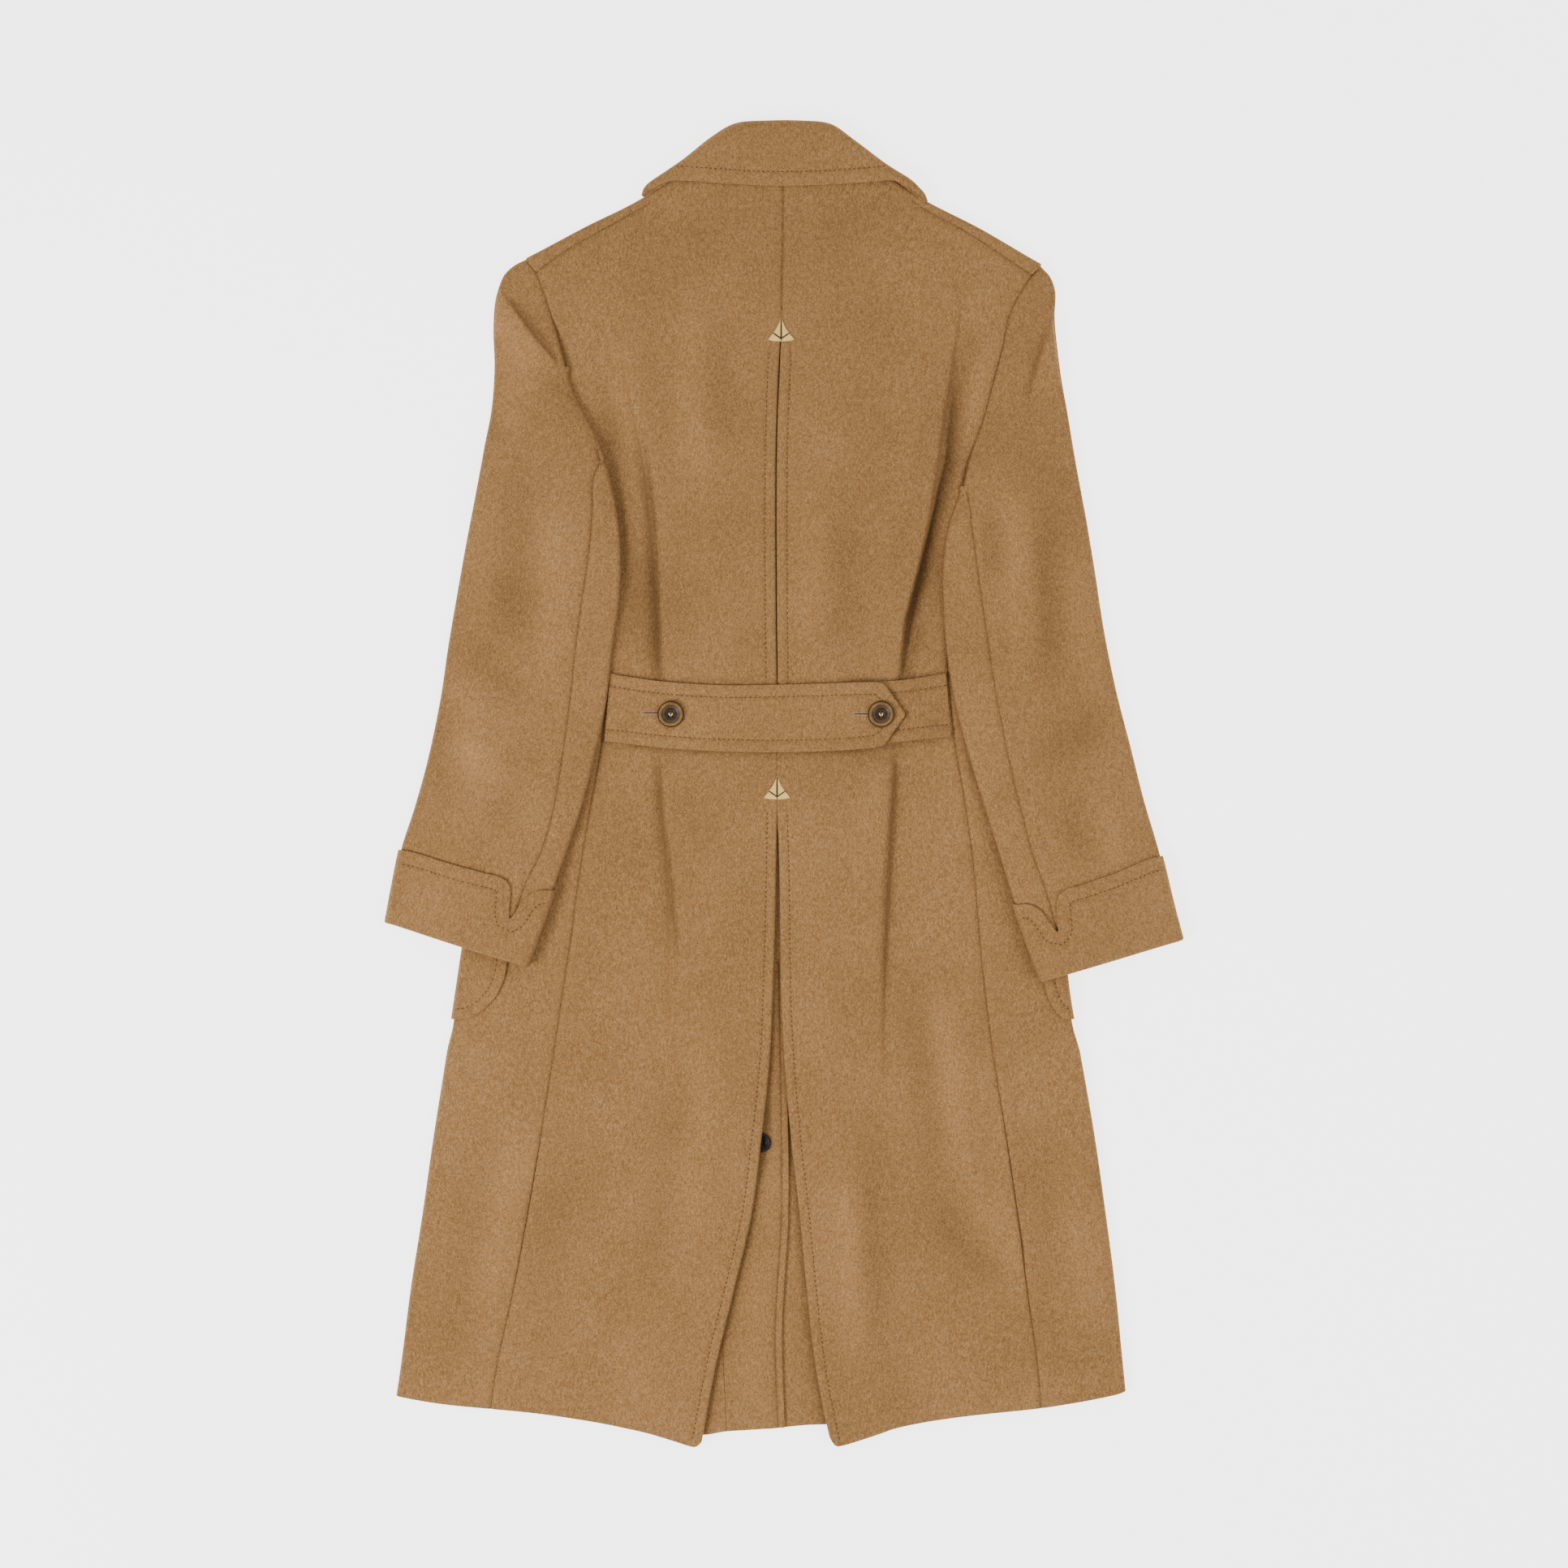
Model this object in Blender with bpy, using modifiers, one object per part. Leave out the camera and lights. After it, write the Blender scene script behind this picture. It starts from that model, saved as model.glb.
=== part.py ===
"""A camel polo coat that lies flat with its back up.

The cut pieces are walls of cloth that lie on each other as in the laid-out coat. Tables and layer
heights are in millimetres, and the meshes are made in metres. +X is the right of the coat as it
lies, +Y points to the collar, and the surface it lies on is at Z = 0.
"""
import math
from collections import namedtuple

import bmesh
import bpy
from mathutils import Vector

MM = 0.001

# Cloth, and how its layers lie on each other
CLOTH = 2.0
GAP = 0.3
STEP = CLOTH + GAP
SEAM_SHIFT = 0.25
ARMHOLE_CLEAR = 0.9
SHOULDER_CLEAR = 1.8
LAYER_CLEAR = 0.35
FLOOR_MID = CLOTH / 2
SIDE_FOLD_RADIUS = 2.9
BACK_MID = FLOOR_MID + 2 * SIDE_FOLD_RADIUS
BODY_TOP = BACK_MID + CLOTH / 2 + GAP

# Inverted pleat: folded edges over an underlay, with the panels raised along them
RETURN_WIDTH = 15.0
UPPER_LIFT = 3.8
LOWER_LIFT = 6.2
LIFT_FLAT = 40.0
LIFT_END = 105.0
UNDERLAY_REACH = 32.0
UPPER_UNDERLAY_MID = 5.6
RIGHT_UNDERLAY_MID = 5.6
LEFT_UNDERLAY_MID = RIGHT_UNDERLAY_MID + STEP
UPPER_UNDERLAY_TOP = 440.0
BELT_MIDDLE = 50.0
UNDERLAY_GAP = 2.5
UNDERLAY_LAP = 28.0
UNDERLAY_END = -600.0
UNDERLAY_EDGE = (
    (-620, 1.0), (-598, 0.9), (-547, -1.1), (-504, -1.6), (-456, 1.1), (-403, 4.2), (-328, 4.2), (50, -2),
)
UNDERLAY_LEVELS = {"upper": 6, "vent": 12}
BELT_FADE = (112.0, 165.0)
NECK_FADE = (470.0, 545.0)

# Body outline, seams and folds of the back by height. side: folded side of the body, seam:
# side-back seam and armhole above it, tuck: folded edge of the side tuck, edge: centre edge
BODY_COLUMNS = ("y", "side", "seam", "tuck", "edge")
LEFT_BODY = (
    (-620, -369, -280, -151, -78.0),
    (-600, -366, -276, -148, -74.3),
    (-540, -357, -267, -139, -63.0),
    (-470, -348, -252, -129, -46.2),
    (-400, -337, -239, -119, -30.0),
    (-330, -327, -227, -109, -21.0),
    (-260, -316, -216, -106, -13.5),
    (-200, -307, -207, -104, -10.5),
    (-140, -298, -198, -105, -8.6),
    (-80, -288, -190, -107, -7.4),
    (-20, -278, -180, -111, -6.6),
    (40, -271, -170, -113, -7.0),
    (100, -268, -165, -114, -7.5),
    (150, -269, -167, -116, -8.3),
    (200, -271, -173, -119, -8.6),
    (250, -272, -179, -123, -8.8),
    (300, -273, -186, -129, -8.6),
    (350, -274, -196, -139, -7.4),
    (388, -275, -203.5, -146, -5.8),
    (440, -276, -218, -146, -2.7),
    (476, -277, -231, -145, -2.0),
    (489, -277, -241, -144, -1.6),
    (580, -278, -300, -140, -0.6),
)
RIGHT_BODY = (
    (-620, 324, 243, 117, 46.0),
    (-600, 322, 241, 115, 40.5),
    (-540, 316, 236, 109, 29.1),
    (-470, 309, 226, 103, 21.0),
    (-400, 300, 217, 98, 14.4),
    (-330, 290, 207, 93, 6.5),
    (-260, 278, 196, 90, 0.5),
    (-200, 267, 188, 90, -2.6),
    (-140, 260, 182, 92, -3.6),
    (-80, 253, 177, 95, -4.4),
    (-20, 247, 169, 98, -6.0),
    (40, 244, 159, 102, -6.4),
    (100, 244, 153, 107, -5.3),
    (150, 246, 154, 113, -5.7),
    (200, 249, 158, 123, -6.0),
    (250, 256, 163, 133, -6.2),
    (300, 263, 172, 141, -6.0),
    (345, 270, 187, 147, -5.0),
    (376, 272, 195, 152, -3.6),
    (407, 274, 203.5, 156, -2.4),
    (440, 276, 211, 161, -2.1),
    (474, 278, 231, 158, -1.4),
    (482, 279, 240.5, 156, -1.0),
    (580, 282, 330, 140, -0.1),
)

# Height of the tuck's folded edge over the back, by y
LEFT_TUCK = (
    (-330, 0.0), (-260, 1.8), (-180, 4.2), (-60, 6.0), (5, 5.6), (24, 0.0), (108, 0.0),
    (130, 6.2), (180, 8.2), (280, 8.2), (360, 6.2), (420, 4.0), (460, 1.6), (500, 0.0),
)
RIGHT_TUCK = (
    (-310, 0.0), (-240, 1.8), (-160, 4.4), (-60, 6.0), (5, 5.6), (24, 0.0), (108, 0.0),
    (130, 6.8), (180, 9.0), (260, 8.8), (330, 6.8), (390, 4.6), (430, 2.1), (475, 0.0),
)
TUCK_RISE = 26.0
TUCK_DROP = 4.5

# Lower edges, across the coat
LEFT_HEM = (
    (-372, -566), (-361, -570), (-318, -577.6), (-273, -582), (-228, -586.6), (-182, -593.4),
    (-148, -599.5), (-126, -604), (-103, -610.8), (-80, -617.5), (-60, -618),
)
RIGHT_HEM = (
    (20, -618), (46, -617), (67, -611.5), (90, -604), (101, -600.2), (123, -595.7),
    (169, -589), (239, -581.4), (282, -574.6), (305, -570), (325, -565),
)
UNDERLAY_HEM = (
    (-110, -607), (-73, -606), (-55, -603), (-35, -601.7), (-3, -599.5), (25, -597), (80, -596),
)

# Lower edges of the fronts, hidden behind the back's hem up to its side-back seams
FRONT_HEM = (
    (-280, -581.5), (-228, -583), (-182, -586), (-148, -589), (-100, -592), (-40, -591), (20, -588),
    (80, -586), (123, -585), (169, -583), (245, -581.4),
)
HEM_JOIN = {"left": 273.0, "right": 239.0}

# Upper edge of each back: neck, then the shoulder seam, across the coat
LEFT_TOP = (
    (-236, 473), (-231, 476.4), (-216, 488), (-197, 500.6), (-168, 516.9), (-145, 529.8),
    (-122, 542.8), (-99, 556.8), (-76, 573.5), (-70, 576.5), (-50, 573.8), (-25, 570.5), (0, 569.3),
)
RIGHT_TOP = (
    (0, 569.3), (25, 571), (48, 574.6), (64, 576.5), (70, 575), (90, 562.5), (110, 548.5),
    (135, 533), (161, 519.5), (185, 505.0), (206, 491.0), (221, 480.6), (231, 474.1), (236, 469),
)

# Shoulder fold, from the neck to the shoulder point: where it lies, and the seam's place behind it
RIDGE_COLUMNS = ("share", "x", "y", "seam_x")
LEFT_RIDGE = (
    (0.0, -74, 586, -75), (0.33, -131, 546.6, -127),
    (0.66, -186, 518.8, -180), (1.0, -238, 490.5, -229),
)
RIGHT_RIDGE = (
    (0.0, 73.5, 585.6, 73), (0.33, 125, 547.8, 122),
    (0.66, 184, 517, 178), (1.0, 237.5, 485, 229),
)

# Front panels, which meet in a double-breasted overlap below the neck
LEAD_REACH = 80.0
LEAD_REACH_TOP = 58.0
LEAD_SPAN = (-620.0, 546.0)
FRONT_NECKLINE = ((0.0, 500.0), (58.0, 546.0), (72.5, 584.0))
UNDERARM = {"left": (290.0, 55.0), "right": (226.0, 40.0)}
UNDERARM_MARGIN = 26.0
ARMHOLE_START = {"left": -196.0, "right": 163.0}
SIDE_PLACE = 300.0
POCKET_LIFT_ROWS = (-252.0, -224.0, 6.0, 34.0)
POCKET_LIFT_INNER = (80.0, 93.0)
POCKET_INNER = 114.0
POCKET_TOP = -2.0
POCKET_LEVELS = (0.0, 0.08, 0.226, 0.502, 0.733, 1.0)
POCKET_CLEAR = 0.6
POCKET_STACK = STEP + 0.9
OVERLAP_RAMP = (6.0, 24.0)
FOLD_SHARES = (0.2, 0.4, 0.6, 0.8)

# Patch pockets round the side folds: width on the back, lower edge, and the corner's height
POCKET_EDGE = {"left": (44.0, -219.0, 46.0), "right": (22.5, -219.0, 34.0)}

# Sleeves: rows from the armhole to the cuff. ox, oy: outer edge, ix, iy: inner edge,
# seam: elbow seam round the ring, crown: rise of the upper layer
SLEEVE_COLUMNS = ("ox", "oy", "ix", "iy", "seam", "crown")
LEFT_SLEEVE = (
    (-241, 489, -203.5, 388, 3.60, 0.0),
    (-252.5, 483, -203, 385, 3.60, 1.0),
    (-261.6, 474, -202.5, 382, 3.60, 2.0),
    (-267, 460, -201.5, 378.5, 3.60, 3.0),
    (-270, 445, -199.5, 373, 3.60, 3.8),
    (-271, 420, -194.5, 361, 3.58, 4.4),
    (-270, 390, -186, 344.5, 3.45, 4.6),
    (-272, 355.6, -172.5, 318, 3.15, 4.6),
    (-278, 318, -162, 284, 2.90, 4.6),
    (-286.5, 272.6, -154.5, 246, 2.84, 4.6),
    (-295.6, 227, -152, 208.4, 2.81, 4.6),
    (-304.6, 178, -153.6, 169, 2.79, 4.6),
    (-313, 129, -159.7, 126.8, 2.795, 4.6),
    (-320.5, 78.5, -165.7, 74, 2.80, 4.4),
    (-332, 23.4, -178, 16, 2.83, 4.2),
    (-344, -20.4, -190.6, -29.4, 2.86, 4.0),
    (-353.7, -50, -203.5, -67.2, 2.87, 3.6),
    (-358.2, -68, -214, -97.4, 2.84, 3.2),
    (-364.3, -99, -226, -132, 2.84, 2.8),
    (-369.6, -127.6, -239, -167.6, 2.84, 2.4),
)
RIGHT_SLEEVE = (
    (240.5, 481.7, 163.5, 276.3, 3.30, 0.0),
    (248.8, 472, 163.5, 274, 3.25, 1.0),
    (253.3, 457.5, 163.3, 271.5, 3.12, 2.0),
    (252.5, 436, 162.6, 266, 2.97, 3.0),
    (254.1, 413.7, 158.2, 255.2, 2.90, 3.8),
    (258.6, 378.3, 152, 234, 2.83, 4.4),
    (264.6, 344.3, 149, 212.2, 2.80, 4.6),
    (272.2, 299, 147.6, 190.3, 2.776, 4.6),
    (280.5, 253.7, 148.4, 167, 2.766, 4.6),
    (289.5, 200.8, 150, 136.7, 2.752, 4.6),
    (298.6, 142, 154.4, 101.2, 2.75, 4.6),
    (310, 86, 162.7, 60.4, 2.76, 4.4),
    (322.8, 36.2, 174.8, 16.6, 2.783, 4.2),
    (334.8, -12, 188.4, -27.2, 2.80, 4.0),
    (345.4, -48.3, 202, -71, 2.813, 3.6),
    (353, -77, 214, -110.2, 2.80, 3.2),
    (360.5, -108.7, 226, -145, 2.81, 2.8),
    (369.6, -143.4, 239.7, -181.2, 2.81, 2.4),
)
SLEEVE_FOLD_RADIUS = 2.9
SLEEVE_DROP = 34.0
ARMHOLE_ROWS = 5
UPPER_RINGS = (2.14, 2.28, 2.42, 2.58, 2.72)
SLEEVE_LIFT_FADE = {"left": (392.0, 446.0), "right": (282.0, 336.0)}

# Turned-back cuffs: rows before the sleeve's end where the cuff starts, round the ring
# Columns: ring, start
CUFF_EDGE = (
    (0.0, 2.15), (0.5, 2.2), (1.0, 2.25), (2.0, 2.35), (2.3, 2.15), (2.55, 2.05), (2.68, 2.0),
    (2.755, 1.75), (2.81, 1.0), (2.87, 1.6), (2.93, 1.85), (3.0, 1.92), (3.5, 2.0), (4.0, 2.15),
)
CUFF_ROWS = 4
CUFF_HANG = 0.03

# Collar: lower edge, rolled upper edge, height of the lower edge over the back, roll, underlayer
# Columns: edge_x, edge_y, roll_x, roll_y, stand_off, radius
COLLAR = (
    (-123, 552.5, -129.0, 556.5, 1.2, 2.6),
    (-113.6, 558.3, -121.0, 563.3, 2.6, 3.4),
    (-100, 561.3, -106.5, 573.2, 3.0, 4.6),
    (-82, 560.6, -89.5, 585.5, 1.4, 6.0),
    (-62, 559.3, -68, 602.5, 0.4, 6.2),
    (-40, 558, -45, 615.5, 0.2, 6.2),
    (-13, 556.8, -15, 618, 0.2, 6.2),
    (13, 557, 16, 618, 0.2, 6.2),
    (40, 557.8, 43, 615, 0.2, 6.2),
    (62, 559, 64, 601, 0.4, 6.2),
    (84, 560.5, 84.5, 585.5, 1.4, 6.0),
    (101, 561.3, 101, 573.6, 3.0, 4.6),
    (115.5, 554.5, 117.5, 563.3, 2.6, 3.4),
    (124.5, 548.5, 128, 552, 1.2, 2.4),
)
STAND_HALF = 50.0
COLLAR_NECK_CLEAR = 3.0
COLLAR_FRONT_HALF = 70.0

# Half belt: a long piece with a point, over a short piece from the other seam
BELT_LONG = ((-164.5, 102.7, 40.0), (-113.6, 95.3, 34.0), (-56.2, 91.6, 30.4), (-5.7, 92.1, 29.6),
             (49.5, 93.6, 31.2), (84.2, 94.4, 34.0), (92.0, 93.0, 36.0))
BELT_TIP = (112.1, 64.6)
BELT_SHORT = ((71, 94.4, 35.5), (109, 96.6, 39.6), (153.5, 103.4, 44.5))
BELT_STOPS = {
    "belt_long": (-164.5, -150, -130, -112, -92, -72, -50, -30, -7, 10, 30, 48, 57, 66, 78, 92),
    "belt_short": (70, 80, 92, 104, 118, 136, 153),
}
BELT_SHARES = (0.0, 0.25, 0.5, 0.75, 1.0)
BELT_SEWN_END = 140.0
BELT_LEAN = 5.0
TIP_REACHES = (0.4, 0.75, 1.0)
TIP_TAPER = 0.72
TIP_ROUND = 3.0
BELT_CLEAR = 0.45
BELT_LAP = (48.0, 66.0)

# Buttons: turned horn with a raised rim, and the vent's dark button
BELT_BUTTONS = {"left": (-105.3, 64.9), "right": (90.2, 64.9)}
BUTTON_RADIUS = 12.3
BUTTON_HEIGHT = 4.2
BUTTON_SEGMENTS = 24
BUTTON_HOLE_RADIUS = 1.1
BUTTON_HOLE_OFFSET = 2.3
VENT_BUTTON = (-21.0, -333.7)
VENT_BUTTON_RADIUS = 9.0
VENT_BUTTON_HEIGHT = 3.0
VENT_BUMP = 3.6
VENT_BUMP_REACH = (14.0, 48.0)

# Sewn tacks that close the pleat at its ends: middle of each, over the folded edges
TACKS = {"upper": (-2.6, 422.0), "lower": (-6.4, -4.0)}
TACK_HALF = 12.2
TACK_HEIGHT = 21.5
TACK_THICK = 1.2

# Heights of the rows that the body's panels share
LOW_ROWS = (
    -560, -500, -440, -390, -350, -318, -284, -252, -224, -170, -110, -60, 6, 34, 70, 110, 135, 180,
)
HIGH_ROWS = {"left": (230, 290, 345, 395, 440), "right": (222, 266, 310, 355, 400, 440)}
TOP_SHARES = (0.36, 0.7, 1.0)
SETTLE_STEPS = 30

CAMEL = (0.392, 0.224, 0.090)
UNDERCOLLAR = (0.360, 0.204, 0.082)
HORN = (0.190, 0.085, 0.035)
DARK_HORN = (0.018, 0.014, 0.012)
TACK_SILK = (0.700, 0.560, 0.310)

Side = namedtuple("Side", "name sign body sleeve hem top ridge tuck")


def smoothstep(low, high, value):
    """Ease from 0 at low to 1 at high."""
    share = min(1.0, max(0.0, (value - low) / (high - low)))
    return share * share * (3.0 - 2.0 * share)


def curve_through(points):
    """Return a function that runs smoothly through (place, value) pairs, straight past its ends."""
    places = [point[0] for point in points]
    values = [point[1] for point in points]
    last = len(points) - 1
    slopes = []
    for index in range(last + 1):
        low = max(0, index - 1)
        high = min(last, index + 1)
        slopes.append((values[high] - values[low]) / (places[high] - places[low]))

    def value_at(place):
        if place <= places[0]:
            return values[0] + slopes[0] * (place - places[0])
        if place >= places[last]:
            return values[last] + slopes[last] * (place - places[last])
        index = next(i for i in range(last) if place <= places[i + 1])
        span = places[index + 1] - places[index]
        t = (place - places[index]) / span
        return ((2 * t ** 3 - 3 * t ** 2 + 1) * values[index]
                + (t ** 3 - 2 * t ** 2 + t) * span * slopes[index]
                + (3 * t ** 2 - 2 * t ** 3) * values[index + 1]
                + (t ** 3 - t ** 2) * span * slopes[index + 1])

    return value_at


def table_curves(columns, table, key=None):
    """Return a dictionary of curves, one for each column of a table, by its first column or row."""
    curves = {}
    for place, name in enumerate(columns):
        if name != key:
            pairs = [(row[0] if key else index, row[place]) for index, row in enumerate(table)]
            curves[name] = curve_through(pairs)
    return curves


def make_side(name):
    """Gather the tables of one side of the coat."""
    left = name == "left"
    return Side(
        name=name,
        sign=-1 if left else 1,
        body=table_curves(BODY_COLUMNS, LEFT_BODY if left else RIGHT_BODY, "y"),
        sleeve=table_curves(SLEEVE_COLUMNS, LEFT_SLEEVE if left else RIGHT_SLEEVE),
        hem=curve_through(LEFT_HEM if left else RIGHT_HEM),
        top=curve_through(LEFT_TOP if left else RIGHT_TOP),
        ridge=table_curves(RIDGE_COLUMNS, LEFT_RIDGE if left else RIGHT_RIDGE, "share"),
        tuck=curve_through(LEFT_TUCK if left else RIGHT_TUCK),
    )


def remove_scene_objects():
    for item in list(bpy.data.objects):
        bpy.data.objects.remove(item, do_unlink=True)


def make_material(name, colour, roughness):
    material = bpy.data.materials.new(name)
    material.use_nodes = True
    shader = material.node_tree.nodes["Principled BSDF"]
    shader.inputs["Base Color"].default_value = (*colour, 1.0)
    shader.inputs["Roughness"].default_value = roughness
    shader.inputs["Metallic"].default_value = 0.0
    return material


def link_object(name, mesh, colour, roughness):
    item = bpy.data.objects.new(name, mesh)
    item.data.materials.append(make_material(name + "_finish", colour, roughness))
    COAT.objects.link(item)
    item.parent = ROOT
    return item


def add_sheet(name, grid, colour=CAMEL, closed=False, thickness=CLOTH):
    """Make a wall of cloth round a grid of middle points in millimetres; None leaves a cell out."""
    mesh = bpy.data.meshes.new(name)
    shape = bmesh.new()
    points = [[shape.verts.new(Vector(point) * MM) if point else None for point in row] for row in grid]
    for low, high in zip(points, points[1:]):
        count = len(low)
        for index in range(count if closed else count - 1):
            corners = (low[index], low[(index + 1) % count], high[(index + 1) % count], high[index])
            if None not in corners:
                shape.faces.new(corners).smooth = True
    bmesh.ops.recalc_face_normals(shape, faces=shape.faces)
    shape.to_mesh(mesh)
    shape.free()
    item = link_object(name, mesh, colour, 0.9)
    wall = item.modifiers.new("Cloth", "SOLIDIFY")
    wall.thickness = thickness * MM
    wall.offset = 0.0
    wall.use_even_offset = False
    return item


def centre_lift(side, x, y):
    """How far the back is raised by the pleat's layers under its centre edge."""
    distance = abs(x - side.body["edge"](y))
    upper = UPPER_LIFT + (LOWER_LIFT - UPPER_LIFT) * (1 - smoothstep(*BELT_FADE, y))
    upper *= 1 - smoothstep(*NECK_FADE, y)
    lift = upper * (1 - smoothstep(LIFT_FLAT, LIFT_END, distance))
    if side.sign < 0:
        reach = math.dist((x, y), VENT_BUTTON)
        lift += VENT_BUMP * (1 - smoothstep(*VENT_BUMP_REACH, reach))
    return lift


def tuck_height(side, x, y):
    """Height of the side tuck: a long rise towards its folded edge and a short drop past it."""
    distance = (x - side.body["tuck"](y)) * side.sign
    height = max(0.0, side.tuck(y)) if LEFT_TUCK[0][0] < y < LEFT_TUCK[-1][0] else 0.0
    if distance < 0:
        return height * math.exp(-(distance / TUCK_RISE) ** 2)
    return height * (1 - smoothstep(0, TUCK_DROP, distance))


def back_mid(side, x, y):
    """Middle of the upper layer of the body at a point."""
    return BACK_MID + centre_lift(side, x, y) + tuck_height(side, x, y)


def back_row_heights(side, x):
    """Heights of a back panel's rows at one place across it, from the hem to its upper edge."""
    high = HIGH_ROWS[side.name]
    top = [high[-1] + (side.top(x) - high[-1]) * share for share in TOP_SHARES]
    return [side.hem(x), *LOW_ROWS, *high, *top]


def settle(across, heights, row):
    """Point of a panel's row: its place across depends on its height, and its ends on the place."""
    x = across(0.0)
    for _ in range(SETTLE_STEPS):
        x = (x + across(heights(x)[row])) / 2
    return x, heights(x)[row]


def add_back(side):
    """Back panel: a folded return, the folded centre edge, the tuck and the side-back seam."""
    body = side.body
    inset = CLOTH / 2
    edge_radius = STEP / 2

    def edge_column(offset):
        return lambda y: body["edge"](y) + side.sign * offset

    def between(low, high, share):
        return lambda y: low(y) * (1 - share) + high(y) * share

    def tuck_column(offset):
        return lambda y: body["tuck"](y) + side.sign * offset

    def seam_column(y):
        return body["seam"](y) - side.sign * SEAM_SHIFT

    columns = [(edge_column(RETURN_WIDTH), -STEP - GAP)]
    for angle in (-90, -45, 0, 45, 90):
        turn = math.radians(angle)
        reach = inset + edge_radius * (1 - math.cos(turn))
        columns.append((edge_column(reach), edge_radius * (math.sin(turn) - 1)))
    first_flat = edge_column(inset + edge_radius)
    tuck_start = tuck_column(-TUCK_RISE)
    columns += [(between(first_flat, tuck_start, share), 0.0) for share in (0.22, 0.5, 0.78, 1.0)]
    columns += [(tuck_column(offset), 0.0) for offset in (-13, -5, 0, TUCK_DROP)]
    columns += [(between(tuck_column(TUCK_DROP), seam_column, share), 0.0) for share in (0.33, 0.67, 1.0)]
    grid = []
    for row in range(len(back_row_heights(side, 0))):
        points = []
        for across, drop in columns:
            x, y = settle(across, lambda place: back_row_heights(side, place), row)
            points.append((x, y, back_mid(side, x, y) + drop))
        grid.append(points)
    return add_sheet("back_" + side.name, grid)


def window(y, limits):
    """1 between the two middle limits, easing to 0 at the outer ones."""
    return smoothstep(limits[0], limits[1], y) * (1 - smoothstep(limits[2], limits[3], y))


def lead_x(side, y):
    """Front edge of a front panel, past the middle of the coat."""
    share = (y - LEAD_SPAN[0]) / (LEAD_SPAN[1] - LEAD_SPAN[0])
    return -side.sign * (LEAD_REACH + (LEAD_REACH_TOP - LEAD_REACH) * share)


def front_lift(side, x, y):
    """How far a front is raised over the pocket, or over the other front, that lies under it."""
    pocket = window(y, POCKET_LIFT_ROWS) * smoothstep(*POCKET_LIFT_INNER, x * side.sign)
    overlap = 0.0
    if side.sign > 0:
        past = x - lead_x(SIDES["left"], y)
        overlap = 1 - smoothstep(*OVERLAP_RAMP, past)
    return STEP * max(pocket, overlap)


def front_neck(x):
    """Height of the fronts' neckline: straight between its few points."""
    reach = abs(x)
    low, high = FRONT_NECKLINE[:2] if reach < FRONT_NECKLINE[1][0] else FRONT_NECKLINE[1:]
    return low[1] + (high[1] - low[1]) * (reach - low[0]) / (high[0] - low[0])


def underarm_height(side, share):
    """Upper edge of the side panel, from the side fold (0) to the side-back seam (1)."""
    low, rise = UNDERARM[side.name]
    return low + rise * share


def side_fold(side, y, lower, extra=0.0):
    """Place across, middle height and radius of the side fold at a height y."""
    radius = (BACK_MID - lower) / 2
    outer = side.body["side"](y) - side.sign * STEP * window(y, POCKET_LIFT_ROWS)
    centre = outer - side.sign * (CLOTH / 2 + radius)
    return centre, (BACK_MID + lower) / 2, radius + extra


def front_point(side, part, share, y, out=0.0):
    """Middle of a front's cloth below the underarm: under, fold or over, moved out by a distance."""
    arm = ARMHOLE_START[side.name]
    if part == "under":
        centre = side_fold(side, y, FLOOR_MID + front_lift(side, SIDE_PLACE * side.sign, y))[0]
        x = arm + (centre - arm) * share
        return x, y, FLOOR_MID + front_lift(side, x, y) - out
    lower = FLOOR_MID + front_lift(side, SIDE_PLACE * side.sign, y)
    centre, height, radius = side_fold(side, y, lower, out)
    if part == "fold":
        turn = math.pi * (share - 0.5)
        return centre + side.sign * radius * math.cos(turn), y, height + radius * math.sin(turn)
    x = centre + (side.body["seam"](y) + side.sign * SEAM_SHIFT - centre) * share
    return x, y, BACK_MID + out


def front_row_heights(side, share):
    """Heights of a front's rows from the hem to the underarm; share is 1 at the side-back seam."""
    low, rise = UNDERARM[side.name]
    stations = [row for row in HIGH_ROWS[side.name] if row <= low + rise]
    start = LOW_ROWS[-1]
    top = underarm_height(side, share)
    levels = [(row - start) / (low + rise - start) for row in stations]
    return [*LOW_ROWS, *(start + (top - start) * level for level in levels)]


def front_hem(side, x):
    """Lower edge of a front: hidden behind the back's hem, and level with it past the side-back seam."""
    return curve_through(FRONT_HEM)(x) if abs(x) < HEM_JOIN[side.name] else side.hem(x)


def chest_place(side, index, y):
    """Place across of a column of the front's flat part, from its front edge to the armhole."""
    left_lead = lead_x(SIDES["left"], y)
    arm = ARMHOLE_START[side.name]
    if side.sign > 0:
        start = left_lead + OVERLAP_RAMP[0]
        return (-left_lead, -27, 27, start, start + 18, (start + 18 + arm) / 2, arm)[index]
    start = -left_lead - 5
    return (left_lead, 27, -27, start, start - 27, (start - 27 + arm) / 2, arm)[index]


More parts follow.
